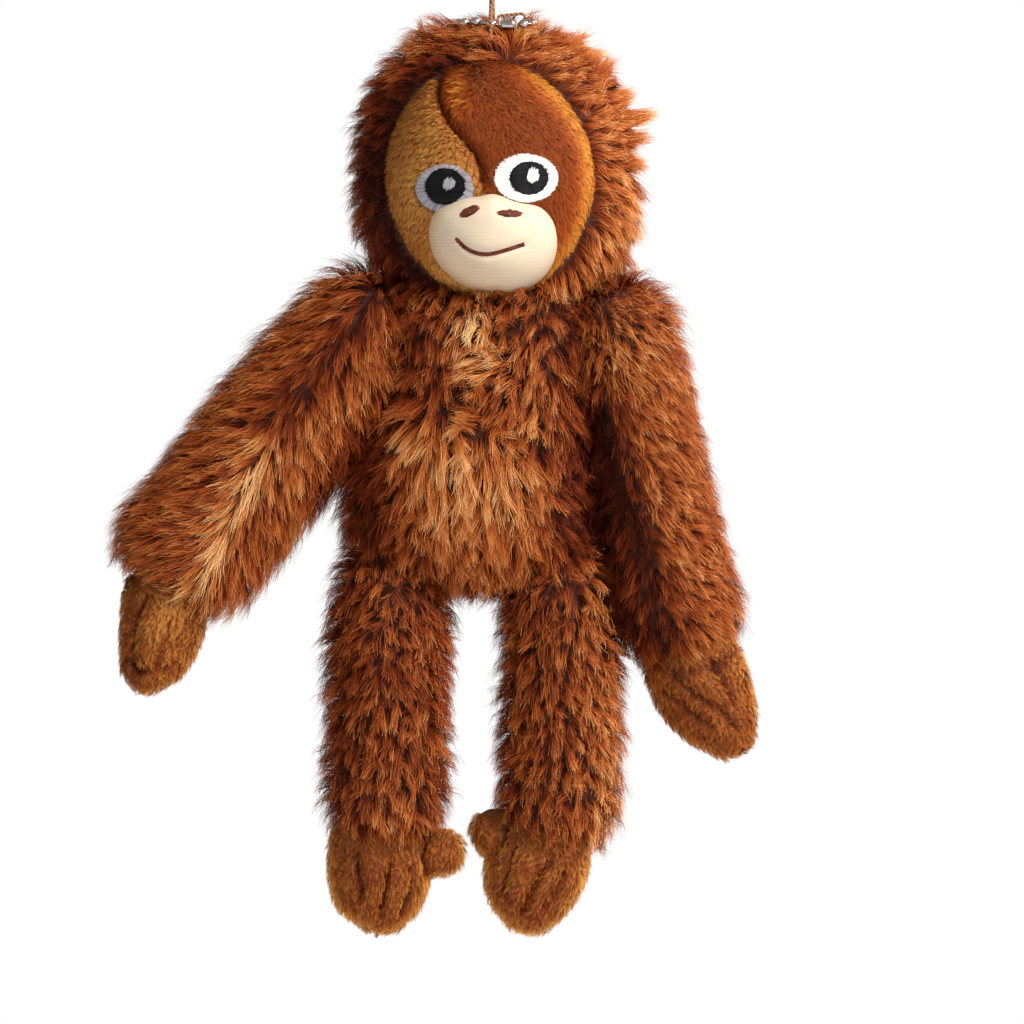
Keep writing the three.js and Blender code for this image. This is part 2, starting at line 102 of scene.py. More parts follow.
def smoothstep(low, high, x):
    t = np.clip((x - low) / (high - low), 0, 1)
    return t * t * (3 - 2 * t)


def on_surface(vectors, normals):
    """The vectors' parts along the surface, as unit vectors."""
    return unit(vectors - (vectors * normals).sum(1, keepdims=True) * normals)


def ripple(points, wavelength, seed, waves=6):
    """A smooth random vector field, about -1 to 1 in each direction."""
    rng = np.random.default_rng(seed)
    total = np.zeros_like(points)
    for _ in range(waves):
        k = unit(rng.normal(size=3)) * 2 * math.pi / (wavelength * rng.uniform(0.7, 1.5))
        total += unit(rng.normal(size=3)) * np.sin(points @ k + rng.uniform(0, 6.3))[:, None]
    return total / math.sqrt(waves / 2)


CURVE_STEPS = 24  # points between two rows, before they are spaced evenly


def curve_through(rows, count):
    """count rows along a smooth line through the given ones, spaced evenly in their first three columns."""
    rows = np.asarray(rows, float)
    padded = np.vstack([2 * rows[0] - rows[1], rows, 2 * rows[-1] - rows[-2]])
    fine = []
    for i in range(len(rows) - 1):
        a, b, c, d = padded[i:i + 4]
        for t in np.linspace(0, 1, CURVE_STEPS, endpoint=False):
            fine.append(0.5 * (2 * b + (c - a) * t + (2 * a - 5 * b + 4 * c - d) * t ** 2
                               + (3 * b - a - 3 * c + d) * t ** 3))
    fine = np.array(fine + [rows[-1]])
    step = np.r_[0, np.cumsum(np.linalg.norm(np.diff(fine[:, :3], axis=0), axis=1))]
    where = np.linspace(0, step[-1], count)
    return np.stack([np.interp(where, step, fine[:, k]) for k in range(rows.shape[1])], 1)


def flat_line(line):
    """[x, z] places as [x, 0, z]."""
    return np.array([[x, 0, z] for x, z in line])


def line_gap(points, line, count):
    """How far points lie from a smooth line through [x, y, z] places, seen from the front."""
    fine = curve_through(line, count)[:, [0, 2]]
    return np.min(np.linalg.norm(points[:, None, [0, 2]] - fine[None], axis=2), axis=1)


# Meshes

def added(name, data):
    """An object made of the data, put into the scene."""
    obj = bpy.data.objects.new(name, data)
    bpy.context.scene.collection.objects.link(obj)
    return obj


def make_object(name, verts, faces, material):
    """A smooth mesh from points in mm and an array of triangles or quads."""
    mesh = bpy.data.meshes.new(name)
    mesh.vertices.add(len(verts))
    mesh.vertices.foreach_set("co", (np.asarray(verts) * MM).astype(np.float32).ravel())
    mesh.loops.add(faces.size)
    mesh.loops.foreach_set("vertex_index", faces.astype(np.int32).ravel())
    mesh.polygons.add(len(faces))
    mesh.polygons.foreach_set("loop_start", np.arange(0, faces.size, faces.shape[1], dtype=np.int32))
    mesh.update(calc_edges=True)
    mesh.polygons.foreach_set("use_smooth", np.ones(len(mesh.polygons), bool))
    mesh.materials.append(material)
    return added(name, mesh)


def set_shade(obj, shade):
    """Gives each vertex its tone, which the material reads."""
    value = obj.data.attributes.new("shade", "FLOAT", "POINT")
    value.data.foreach_set("value", np.asarray(shade, np.float32))


def set_points(obj, points):
    obj.data.vertices.foreach_set("co", (points * MM).astype(np.float32).ravel())
    obj.data.update()


def arrays(obj):
    """The object's vertices in mm and its triangles."""
    mesh = obj.data
    mesh.calc_loop_triangles()
    verts = np.empty(len(mesh.vertices) * 3)
    mesh.vertices.foreach_get("co", verts)
    tris = np.empty(len(mesh.loop_triangles) * 3, np.int32)
    mesh.loop_triangles.foreach_get("vertices", tris)
    return verts.reshape(-1, 3) / MM, tris.reshape(-1, 3)


def vertex_normals(verts, tris):
    corner = verts[tris]
    face = np.cross(corner[:, 1] - corner[:, 0], corner[:, 2] - corner[:, 0])
    normals = np.zeros_like(verts)
    for k in range(3):
        np.add.at(normals, tris[:, k], face)
    return unit(normals)


def ring_quads(rows, around):
    """Quads between neighbouring rings of points."""
    i, j = np.meshgrid(np.arange(rows - 1), np.arange(around), indexing="ij")
    a = (i * around + j).ravel()
    b = (i * around + (j + 1) % around).ravel()
    return np.stack([a, b, b + around, a + around], 1)


def ring_mesh(centres, across, half_across, half_deep, around=48, deep=BACK, square=1.0):
    """A closed mesh of rings round centres, with a point at each end. square below 1 fills the corners."""
    angle = np.linspace(0, 2 * math.pi, around, endpoint=False)
    out = np.sign(np.cos(angle)) * np.abs(np.cos(angle)) ** square
    back = np.sign(np.sin(angle)) * np.abs(np.sin(angle)) ** square
    rings = (centres[:, None] + half_across[:, None, None] * out[None, :, None] * across[:, None]
             + half_deep[:, None, None] * back[None, :, None] * deep)
    verts = np.vstack([rings.reshape(-1, 3), centres[0], centres[-1]])
    rows = len(centres)
    quads = ring_quads(rows, around)
    first, last = rows * around, rows * around + 1
    n = np.arange(around)
    start = np.stack([np.full(around, first), (n + 1) % around, n], 1)
    base = (rows - 1) * around
    end = np.stack([np.full(around, last), base + n, base + (n + 1) % around], 1)
    tris = np.vstack([quads[:, [0, 1, 2]], quads[:, [0, 2, 3]], start, end])
    corner = verts[tris]
    volume = (corner[:, 0] * np.cross(corner[:, 1], corner[:, 2])).sum()
    return verts, tris if volume > 0 else tris[:, ::-1]


def stuffed(stations, dome_start, dome_end, rows=60, around=48, square=1.0):
    """A stuffed form along stations [x, y, z, half across, half deep], with a dome of the given length at
    each end. A form that runs along Y has its rings upright."""
    line = curve_through(stations, rows)
    centres, sizes = line[:, :3], line[:, 3:]
    begin = unit(centres[0] - centres[1])
    finish = unit(centres[-1] - centres[-2])
    lift = np.linspace(math.pi / 2, 0, 9)[:-1]
    head = centres[0] + begin * (dome_start * np.sin(lift))[:, None]
    tail = centres[-1] + finish * (dome_end * np.sin(lift[::-1]))[:, None]
    shrink = np.maximum(np.cos(lift), 0.02)[:, None]
    centres = np.vstack([head, centres, tail])
    sizes = np.vstack([sizes[0] * shrink, sizes, sizes[-1] * shrink[::-1]])
    if abs(finish[1]) > 0.9:
        across = np.repeat([[1.0, 0.0, 0.0]], len(centres), 0)
        return ring_mesh(centres, across, sizes[:, 0], sizes[:, 1], around, UP, square)
    tangent = unit(np.gradient(centres, axis=0) * [1, 0, 1])
    across = np.stack([-tangent[:, 2], np.zeros(len(tangent)), tangent[:, 0]], 1)
    return ring_mesh(centres, across, sizes[:, 0], sizes[:, 1], around, BACK, square)


def ball(centre, radii, tilt=0.0, around=28, rows=18):
    """An ellipsoid tilted in the plane of the front, by degrees."""
    angle = np.linspace(0.08, math.pi - 0.08, rows)
    turn = math.radians(tilt)
    axis = np.array([math.sin(turn), 0, math.cos(turn)])
    side = np.array([math.cos(turn), 0, -math.sin(turn)])
    centres = np.asarray(centre, float) + axis * (radii[2] * np.cos(angle))[:, None]
    across = np.repeat(side[None], rows, 0)
    return ring_mesh(centres, across, radii[0] * np.sin(angle), radii[1] * np.sin(angle), around)


def joined(shapes):
    """Shapes, each its points and triangles, as one."""
    verts, tris, total = [], [], 0
    for v, t in shapes:
        verts.append(v)
        tris.append(t + total)
        total += len(v)
    return np.vstack(verts), np.vstack(tris)


def merged(name, shapes, voxel, smooth_steps, material):
    """Shapes joined into one skin by a voxel remesh, then smoothed."""
    obj = make_object(name, *joined(shapes), material)
    remesh = obj.modifiers.new("remesh", "REMESH")
    remesh.mode = "VOXEL"
    remesh.voxel_size = voxel * MM
    smooth = obj.modifiers.new("smooth", "SMOOTH")
    smooth.iterations = smooth_steps
    apply_modifiers(obj)
    return obj


def apply_modifiers(obj):
    graph = bpy.context.evaluated_depsgraph_get()
    mesh = bpy.data.meshes.new_from_object(obj.evaluated_get(graph))
    old = obj.data
    obj.modifiers.clear()
    obj.data = mesh
    bpy.data.meshes.remove(old)
    mesh.polygons.foreach_set("use_smooth", np.ones(len(mesh.polygons), bool))


SIM_FRAMES = 20
# A cushion's pressure hardly moves skins this small. This one moves the left arm, legs, hands and feet by less
# than their cap. Most of the torso and half of the right arm would go further, so there the cap sets the shape.
STUFFING_PRESSURE = 10000
SOFT_CLOTH = 2.0
SEAM_BAND = 2.5  # how far each side of a side seam the cloth is held, so that the outline keeps its place


def puffed(obj, held, cap):
    """Stuffs a skin by cloth simulation. held marks what stays still, and nothing moves more than cap."""
    before, _ = arrays(obj)
    pins = obj.vertex_groups.new(name="seams")
    pins.add(np.nonzero(held)[0].tolist(), 1.0, "REPLACE")
    cloth = obj.modifiers.new("stuffing", "CLOTH")
    cloth.settings.vertex_group_mass = pins.name
    cloth.settings.use_pressure = True
    cloth.settings.uniform_pressure_force = STUFFING_PRESSURE
    cloth.settings.tension_stiffness = SOFT_CLOTH
    cloth.settings.compression_stiffness = SOFT_CLOTH
    cloth.settings.shear_stiffness = SOFT_CLOTH
    cloth.settings.effector_weights.gravity = 0
    cloth.settings.quality = 5
    cloth.point_cache.frame_start = 1
    cloth.point_cache.frame_end = SIM_FRAMES
    for number in range(1, SIM_FRAMES + 1):
        bpy.context.scene.frame_set(number)
    apply_modifiers(obj)
    bpy.context.scene.frame_set(1)
    after, _ = arrays(obj)
    move = after - before
    far = np.linalg.norm(move, axis=1, keepdims=True)
    move *= np.minimum(1, cap / np.maximum(far, 1e-6))
    set_points(obj, before + move)


def filled_out(obj, seam_y, ends, cap=1.2):
    """Stuffs a skin from its side seams outwards. ends(points) marks what its neighbours hold. Gives its
    points and triangles."""
    points, _ = arrays(obj)
    puffed(obj, (np.abs(points[:, 1] - seam_y) < SEAM_BAND) | ends(points), cap)
    return arrays(obj)


def pressed_in(points, normals, line, depth, width):
    """Points pressed in along a line of [x, z] on the front."""
    apart = line_gap(points, flat_line(line), 40)
    press = depth * np.exp(-((apart / width) ** 2))
    press *= smoothstep(-0.1, -0.5, normals[:, 1])
    return points - normals * press[:, None]


# Materials

def linear(r, g, b):
    """A colour as it looks on a screen, 0 to 255, as the shader wants it."""
    c = np.array([r, g, b]) / 255
    return (*np.where(c <= 0.04045, c / 12.92, ((c + 0.055) / 1.055) ** 2.4), 1.0)


def set_ramp(node, stops):
    """Sets a colour ramp to (place, colour) stops, in the order of their places."""
    elements = node.color_ramp.elements
    for element, (place, colour) in ((elements[0], stops[0]), (elements[1], stops[-1])):
        element.position = place
        element.color = colour
    for place, colour in stops[1:-1]:
        elements.new(place).color = colour


class Shader:
    """A material whose nodes are wired by name."""

    def __init__(self, name):
        self.material = bpy.data.materials.new(name)
        self.material.use_nodes = True
        self.tree = self.material.node_tree
        self.surface = self.tree.nodes["Principled BSDF"]

    def node(self, kind, **inputs):
        made = self.tree.nodes.new(kind)
        for key, value in inputs.items():
            by_number = key[0] == "i" and key[1:].isdigit()
            socket = made.inputs[int(key[1:]) if by_number else key]
            if isinstance(value, bpy.types.NodeSocket):
                self.tree.links.new(value, socket)
            else:
                socket.default_value = value
        return made

    def attribute(self, name):
        made = self.tree.nodes.new("ShaderNodeAttribute")
        made.attribute_name = name
        return made.outputs["Fac"]

    def math(self, operation, a, b):
        made = self.node("ShaderNodeMath", i0=a, i1=b)
        made.operation = operation
        return made.outputs[0]

    def place(self):
        return self.node("ShaderNodeTexCoord").outputs["Object"]

    def noise(self, scale):
        return self.node("ShaderNodeTexNoise", Vector=self.place(), Scale=scale, Detail=3.0).outputs["Fac"]

    def wave(self, scale, distortion, direction):
        made = self.node("ShaderNodeTexWave", Vector=self.place(), Scale=scale, Distortion=distortion)
        made.bands_direction = direction
        return made.outputs["Fac"]

    def ramp(self, factor, stops):
        made = self.node("ShaderNodeValToRGB", Fac=factor)
        set_ramp(made, [(place, linear(*colour)) for place, colour in stops])
        return made.outputs["Color"]

    def finish(self, colour, rough_low, rough_high, grain, bump, distance=0.0002, **sockets):
        link = self.tree.links.new
        link(colour, self.surface.inputs["Base Color"])
        spread = self.node("ShaderNodeMapRange", Value=grain)
        spread.inputs["To Min"].default_value = rough_low
        spread.inputs["To Max"].default_value = rough_high
        link(spread.outputs["Result"], self.surface.inputs["Roughness"])
        raised = self.node("ShaderNodeBump", Height=bump, Distance=distance, Strength=0.5)
        link(raised.outputs["Normal"], self.surface.inputs["Normal"])
        for key, value in sockets.items():
            self.surface.inputs[key.replace("_", " ")].default_value = value
        return self.material


FUR_MOTTLE = 0.24


def fur_material(name, stops):
    """Fibres: dark at the root, lighter to the tip, each with its own tone and a mottle over the cloth."""
    s = Shader(name)
    mottled = s.math("MULTIPLY", s.math("SUBTRACT", s.noise(90.0), 0.5), FUR_MOTTLE)
    shade = s.math("ADD", s.attribute("shade"), mottled)
    grain = s.noise(900.0)
    return s.finish(s.ramp(shade, stops), 0.5, 0.7, grain, grain, Specular_IOR_Level=0.07)


LONG_FUR = fur_material("long_fur", [(0.0, (46, 11, 3)), (0.25, (100, 34, 11)), (0.5, (150, 66, 25)),
                                     (0.75, (202, 118, 56)), (1.0, (246, 198, 136))])
RUST_PILE = fur_material("face_rust", [(0.0, (70, 22, 6)), (0.5, (172, 80, 28)), (1.0, (228, 152, 60))])
OCHRE_PILE = fur_material("face_ochre", [(0.0, (70, 30, 8)), (0.5, (178, 104, 46)), (1.0, (232, 176, 88))])
HAND_PILE = fur_material("short_pile", [(0.0, (58, 18, 6)), (0.35, (138, 60, 24)), (0.56, (186, 110, 46)),
                                        (1.0, (238, 180, 92))])


def cloth_material(name, low, high):
    """Woven backing cloth with a mottled dye."""
    s = Shader(name)
    threads = s.wave(1400.0, 1.5, "X")
    mottle = s.noise(220.0)
    return s.finish(s.ramp(mottle, [(0.3, low), (0.7, high)]), 0.75, 0.95, mottle, threads, 0.0002)


BACKING = cloth_material("fur_backing", (52, 20, 8), (84, 36, 14))
RUST_CLOTH = cloth_material("face_rust_backing", (120, 54, 16), (150, 72, 24))
HAND_CLOTH = cloth_material("short_pile_backing", (116, 68, 26), (146, 90, 38))


# Fur

def sample(skin, per_mm2, rng):
    """Random points on a skin, with the normals there."""
    verts, tris = skin
    corner = verts[tris]
    area = np.linalg.norm(np.cross(corner[:, 1] - corner[:, 0], corner[:, 2] - corner[:, 0]), axis=1) / 2
    count = int(area.sum() * per_mm2)
    pick = rng.choice(len(tris), count, p=area / area.sum())
    a, b = rng.random(count), rng.random(count)
    a, b = np.where(a + b > 1, 1 - a, a), np.where(a + b > 1, 1 - b, b)
    share = np.stack([1 - a - b, a, b], 1)[:, :, None]
    normals = vertex_normals(verts, tris)
    return (corner[pick] * share).sum(1), unit((normals[tris[pick]] * share).sum(1))


def nearest(points, centres):
    tree = KDTree(len(centres))
    for i, centre in enumerate(centres):
        tree.insert(centre, i)
    tree.balance()
    return np.array([tree.find(p)[1] for p in points])


def ribbon_objects(name, verts, shading, shade, material, segments, most):
    """Ribbons of the given number of segments, with their normals and tones, at most so many to an object."""
    per = (segments + 1) * 2
    count = len(verts) // per
    pieces = max(1, math.ceil(count / most))
    bounds = np.linspace(0, count, pieces + 1).astype(int)
    made = []
    for k in range(pieces):
        first, last = bounds[k], bounds[k + 1]
        n = np.arange(last - first)[:, None] * per
        a = n + np.arange(segments)[None] * 2
        quads = np.stack([a, a + 1, a + 3, a + 2], 2).reshape(-1, 4)
        label = name if pieces == 1 else f"{name}_{k + 1}"
        part = slice(first * per, last * per)
        obj = make_object(label, verts[part], quads, material)
        set_shade(obj, shade[part])
        obj.data.normals_split_custom_set_from_vertices(shading[part].tolist())
        made.append(obj)
    return made


def fibres(name, skin, comb, material, seed, per_mm2, length, lift, lock, gather, spread, width=0.15,
           droop=0.06, segments=3, keep=None, most=32000, curl=0.3, depth=0.56, painted_tip_glint=0.24,
           soft=0.5, grain=0.06, places=None):
    """Real fibres on a skin, gathered into locks, as flat ribbons in objects of at most that many.
    comb(points, normals) gives the way they lie, factors for lift and length, and the shade. The locks are
    spread by chance, or stand at the given places."""
    rng = np.random.default_rng(seed)
    roots, normals = sample(skin, per_mm2, rng)
    if keep is not None:
        kept = keep(roots, normals)
        roots, normals = roots[kept], normals[kept]
    if places is None:
        centres, centre_normals = sample(skin, 1 / lock ** 2, rng)
    else:
        pick = nearest(places, roots)
        centres, centre_normals = roots[pick], normals[pick]
    way, lift_by, length_by, shade_by = comb(centres, centre_normals)
    count = len(centres)
    stray = rng.normal(size=(count, 3)) * spread
    way = on_surface(unit(way) + stray + 0.25 * spread * ripple(centres, 14, seed + 7), centre_normals)
    rise = np.clip(lift * lift_by * rng.uniform(0.75, 1.2, count), 0.05, 0.98)[:, None, None]
    reach = (length * length_by * rng.uniform(0.75, 1.2, count))[:, None, None]
    bend = np.cross(way, centre_normals) * rng.normal(size=(count, 1)) * curl
    t = np.linspace(0, 1, segments + 1)[None, :, None]
    guide = reach * (centre_normals[:, None] * rise * (1.6 * t - 0.8 * t ** 2)
                     + way[:, None] * np.sqrt(1 - rise ** 2 * 0.85) * (0.4 * t + 0.6 * t ** 2)
                     + bend[:, None] * t ** 2 * (1.5 - t) + DOWN * droop * t ** 2)
    lock_tone = rng.normal(size=count)

    home = nearest(roots, centres)
    count = len(roots)
    own = rng.uniform(0.72, 1.1, count)[:, None, None]
    pull = (centres[home] - roots)[:, None] * gather * rng.uniform(0.6, 1.1, count)[:, None, None]
    fray = rng.normal(size=(count, 1, 3)) * (0.09 * length)
    line = roots[:, None] + guide[home] * own + pull * t ** 1.3 + fray * t ** 1.5
    tangent = unit(np.gradient(line, axis=1))
    side = unit(np.cross(tangent, normals[:, None]))
    roll = rng.uniform(-0.9, 0.9, count)[:, None, None]
    side = side * np.cos(roll) + np.cross(side, tangent) * np.sin(roll)
    facing = unit(soft * normals[:, None] + (1 - soft) * np.cross(side, tangent))
    half = width / 2 * rng.uniform(0.7, 1.3, count)[:, None, None] * (1 - 0.7 * t)
    verts = np.stack([line - side * half, line + side * half], 2).reshape(-1, 3)
    shading = np.repeat(facing[:, :, None], 2, 2).reshape(-1, 3)
    tone = shade_by[home] + (grain + 0.01) * lock_tone[home] + grain * rng.normal(size=count)
    # Painted highlights: about one fibre in eight gets a lighter tip, as a glint.
    glint_gain = (rng.random(count) < 0.12) * painted_tip_glint
    up = t[:, :, 0]
    shade = np.clip(tone[:, None] + depth * (up - 0.62) + glint_gain[:, None] * up ** 3, 0, 1)
    shade = np.repeat(shade[:, :, None], 2, 2).ravel()
    return ribbon_objects(name, verts, shading, shade, material, segments, most)


# Which piece goes where

def rides(body, *objects):
    for obj in objects:
        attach(obj, body)


def bends(a, b, start, end, *objects):
    for obj in objects:
        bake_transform(obj)


ROUND_FACE = np.array([24.9, 22.0, 28.4])
FACE_LEAN = -5.0
FACE_CENTRE = np.array([FACE_MID[0], FACE_LOW[1] + ROUND_FACE[1], FACE_MID[2]])


def face_plan(x, z):
    """Across and up on the leaning face, as shares of its half width and height."""
    turn = math.radians(FACE_LEAN)
    dx, dz = x - FACE_CENTRE[0], z - FACE_CENTRE[2]
    across = dx * math.cos(turn) - dz * math.sin(turn)
    up = dx * math.sin(turn) + dz * math.cos(turn)
    return across / ROUND_FACE[0], up / ROUND_FACE[2]


def face_front(x, z):
    across, up = face_plan(x, z)
    return FACE_CENTRE[1] - ROUND_FACE[1] * np.sqrt(np.maximum(1 - across ** 2 - up ** 2, 0.02))


# Head

# Tufts that stand out of the hood: root, way and length factor
TUFTS = [
    [13.5, 0, -17, 0.5, 0, 0.85, 0.85], [18, 1, -18.5, 0.6, 0, 0.8, 1.0],
    [22, 2, -21.5, 0.75, 0, 0.65, 0.95], [25.5, 2, -25.5, 0.8, 0, 0.6, 0.8],
    [28.5, 3, -32, 0.95, 0, 0.35, 0.8], [30, 3, -36.5, 0.97, 0, 0.25, 1.1], [30.8, 3, -41, 1, 0, 0.1, 0.9],
    [31, 3, -45.5, 1, 0, 0.0, 0.75], [31, 3, -50.5, 1, 0, -0.15, 0.8], [30.5, 3, -56, 1, 0, -0.2, 0.65],
    [31, 3, -62, 0.9, 0, -0.4, 0.6], [-13, 0, -17, -0.3, 0, 0.95, 0.7], [-18, 1, -18.5, -0.6, 0, 0.8, 0.7],
]
TUFT_RADIUS = 2.9
# Hair that stands up on the front of the hood: x, z and how much
SPIKES = [(-10, -14.5, 0.7), (-16, -15.5, 1.3), (-24, -20, 0.7), (28.5, -66, 0.7), (26, -72, 0.9),
          (-26, -68, 0.6), (-24, -73, 0.9), (7, -16, 0.6)]
TUFT_HAIR = dict(per_mm2=11, length=9.4, lift=0.62, lock=5, gather=0.82, spread=0.04, curl=0.1, depth=0.4)
HOOD_HAIR = dict(per_mm2=5.4, length=6.4, lift=0.8, lock=2.0, gather=0.68, spread=0.28)


def head():
    rim, crown, middle = HOOD_LOW[1], HOOD_HIGH[2], HOOD_MID[0]
    skin = stuffed([
        [FACE_MID[0], rim - 3, FACE_MID[2], 20, 23],
        [FACE_MID[0], rim, FACE_MID[2] + 0.2, 24.6, 27.9],
        [middle - 0.7, rim + 5.4, crown - 33.2, 28.4, 30.1],
        [middle, rim + 12.4, crown - 31.5, 30.5, 31.5],
        [middle, rim + 21.4, crown - 30.6, 28, 29],
        [middle, rim + 28.4, crown - 30.6, 20, 21],
        [middle, rim + 32.2, crown - 30.6, 10, 10.5],
    ], 1, 1.2, rows=44, around=96, square=0.87)
    points, _ = skin
    cheek = smoothstep(-50, -62, points[:, 2]) * smoothstep(-80, -74, points[:, 2])
    aside = points[:, 0] - middle
    points[:, 0] += cheek * np.where(aside > 0, 3.6, -2.4) * smoothstep(0, 14, np.abs(aside))
    hood = make_object("hood_skin", *skin, BACKING)
    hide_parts("hood_left", "hood_right", "head_stuffing")
    rides("head", hood)

    def comb(p, n):
        up = smoothstep(-62, -34, p[:, 2])
        right = smoothstep(-4, 12, p[:, 0])
        left_way = np.stack([-0.75 * up - 0.2, 0.3 + 0 * up, -0.7 + 0.4 * up], 1)
        right_way = np.stack([0.45 + 0.5 * up, 0.25 + 0 * up, -0.8 + 1.1 * up], 1)
        way = left_way * (1 - right)[:, None] + right_way * right[:, None]
        behind = smoothstep(10, 22, p[:, 1])[:, None]
        way = way * (1 - behind) + (DOWN + 0.1 * BACK) * behind
        spike = 0 * up
        for x, z, size in SPIKES:
            spike = spike + size * np.exp(-((p[:, 0] - x) ** 2 + (p[:, 2] - z) ** 2) / 7)
        spike *= smoothstep(12, 4, p[:, 1])
        across, height = face_plan(p[:, 0], p[:, 2])
        # Painted shadow: the hood hair in the recess beside the -X edge of the face is darker, and shorter.
        shadowed_rim_gap = smoothstep(1.2, 1.04, np.hypot(across, height))
        shadowed_rim_gap = shadowed_rim_gap * smoothstep(0, -10, p[:, 0]) * smoothstep(6, 0, p[:, 1])
        # Painted light: the hood hair is lighter on the +X side, more so low down, where the key light falls,
        # and on top of the -X side.
        shade = (0.39 + 0.17 * right + 0.18 * smoothstep(-30, -18, p[:, 2]) * (1 - right) - 0.36 * shadowed_rim_gap
                 + 0.1 * spike + 0.08 * smoothstep(-40, -60, p[:, 2]) * right)
        calm = 1 - 0.22 * right * (1 - np.minimum(spike, 1)) * up
        return way, 1 + 0.12 * spike, calm + 0.75 * spike - 0.4 * shadowed_rim_gap, shade

    def outside_face(p, n):
        across, up = face_plan(p[:, 0], p[:, 2])
        return (p[:, 1] > rim - 0.5) | (across ** 2 + up ** 2 > 1)

    standing = np.array(TUFTS)

    def tuft_comb(p, n):
        return standing[:, 3:6], 1 + 0 * p[:, 0], standing[:, 6], 0.6 + 0 * p[:, 0]

    def by_a_tuft(p, n):
        return np.min(np.linalg.norm(p[:, None] - standing[None, :, :3], axis=2), axis=1) < TUFT_RADIUS

    rides("head", *fibres("hood_tufts", skin, tuft_comb, LONG_FUR, 17, keep=by_a_tuft,
                          places=standing[:, :3], **TUFT_HAIR))
    rides("head", *fibres("hood_fur", skin, comb, LONG_FUR, 11, keep=outside_face, **HOOD_HAIR))


FACE_NAP = dict(per_mm2=17, length=1.4, lift=0.6, width=0.11, lock=0.8, gather=0.4, spread=0.18, droop=0,
                segments=2, most=60000, depth=0.2, painted_tip_glint=0.06, soft=0.8, grain=0.035)
SEAM = [[-11, -22.5], [-12.6, -27.5], [-12.6, -31.5], [-10.6, -36.4], [-7.2, -40.8], [-4.4, -44.2],
        [-3, -47.6], [-2.4, -51]]


def face():
    verts, tris = ball(FACE_CENTRE, ROUND_FACE, FACE_LEAN, around=120, rows=90)
    normals = vertex_normals(verts, tris)
    verts = pressed_in(verts, normals, SEAM, 1.9, 1.2)
    skin = make_object("face_skin", verts, tris, RUST_CLOTH)
    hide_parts("face_left", "face_right")
    rides("head", skin)

    seam = curve_through(flat_line(SEAM + [[-1.6, -56], [0, -78]]), 60)

    def past_seam(p):
        return p[:, 0] - np.interp(-p[:, 2], -seam[:, 2], seam[:, 0])

    def comb(p, n):
        across, up = face_plan(p[:, 0], p[:, 2])
        apart = past_seam(p)
        high = smoothstep(-54, -48, p[:, 2])
        way = np.stack([0.8 * across + 0.5 * np.sign(apart) * high, 0 * across, -0.7 + 0 * across], 1)
        lick = np.exp(-((p[:, 0] + 7.4) ** 2 / 11 + (p[:, 2] + 29.5) ** 2 / 34))[:, None]
        way = way * (1 - lick) + np.array([-1.0, 0, -0.35]) * lick
        edge = np.hypot(across, up)
        waves = 0.07 * np.sin(p[:, 2] * 3.4 + 1.4 * np.sin(p[:, 0] * 0.5)) * (apart < 0)
        streaks = 0.22 * lick[:, 0] * np.sin(p[:, 2] * 4.5 + p[:, 0])
        patch = np.exp(-((p[:, 0] + 19) ** 2 / 14 + (p[:, 2] + 52) ** 2 / 60))
        crease = np.exp(-(apart / 0.75) ** 2) * high
        swirl = np.exp(-((p[:, 0] + 3.8) ** 2 / 2 + (p[:, 2] + 25) ** 2 / 10))
        # Painted light: the rim of the face is lighter at its lower +X side, facing the key light.
        lit_golden_rim = smoothstep(0.72, 1, edge) * smoothstep(-0.5, 0.2, across - 0.6 * up)
        # Painted shade: the rim of the face is darker on its -X side, away from the key light.
        shaded_left_rim = smoothstep(0.7, 1, edge) * smoothstep(0, -0.6, across)
        shade = (0.48 + 0.46 * lit_golden_rim - 0.1 * shaded_left_rim + 0.42 * lick[:, 0] * (apart > 0) + streaks + waves
                 - 0.4 * crease - 0.3 * swirl
                 + np.where(apart < 0, 0.18 + 0.16 * patch, -0.21 * (1 - lit_golden_rim)))
        return way, 1 + 0 * across, 1 + 0.7 * lick[:, 0] * (apart > 0), shade

    def bare(p, which):
        ok = (p[:, 1] < FACE_CENTRE[1] - 1) & ~in_muzzle(p[:, 0], p[:, 2], 0.97)
        for eye in EYES.values():
            ok &= ~in_eye(eye, p[:, 0], p[:, 2], 0.98)
        on_right = past_seam(p) < 0
        return ok & (on_right if which == "right" else ~on_right)

    for side, material in (("right", OCHRE_PILE), ("left", RUST_PILE)):
        rides("head", *fibres(f"face_pile_{side}", (verts, tris), comb, material, 21,
                              keep=lambda p, n, s=side: bare(p, s), **FACE_NAP))


# Muzzle

MUZZLE_AT = front_centre("muzzle_patch") - [0, 0.5]
MUZZLE_EDGE = np.array([
    [0.2, 12.4], [4.3, 10.9], [7, 10], [11.8, 9.2], [14.6, 6], [15.7, 1], [14.4, -4.8], [9.8, -9.4],
    [4.3, -11], [1.2, -10.2], [-1.2, -10.9], [-4.3, -10.3], [-10.3, -6.8], [-13.9, -2.6], [-15.1, 2.6],
    [-14.2, 7.6], [-9.8, 10], [-3.4, 11.6],
])
MUZZLE_BULGE = 4.2
MUZZLE_STEPS = 181


def muzzle_radius(angle):
    corner = np.arctan2(MUZZLE_EDGE[:, 1], MUZZLE_EDGE[:, 0])
    order = np.argsort(corner)
    corner, size = corner[order], np.linalg.norm(MUZZLE_EDGE, axis=1)[order]
    turn = 2 * math.pi
    steps = np.linspace(-math.pi, math.pi, MUZZLE_STEPS)
    fine = np.interp(steps, np.r_[corner - turn, corner, corner + turn], np.tile(size, 3))
    soft = (np.roll(fine[:-1], 2) + np.roll(fine[:-1], -2) + 2 * fine[:-1]) / 4
    return np.interp(angle, steps, np.r_[soft, soft[0]])


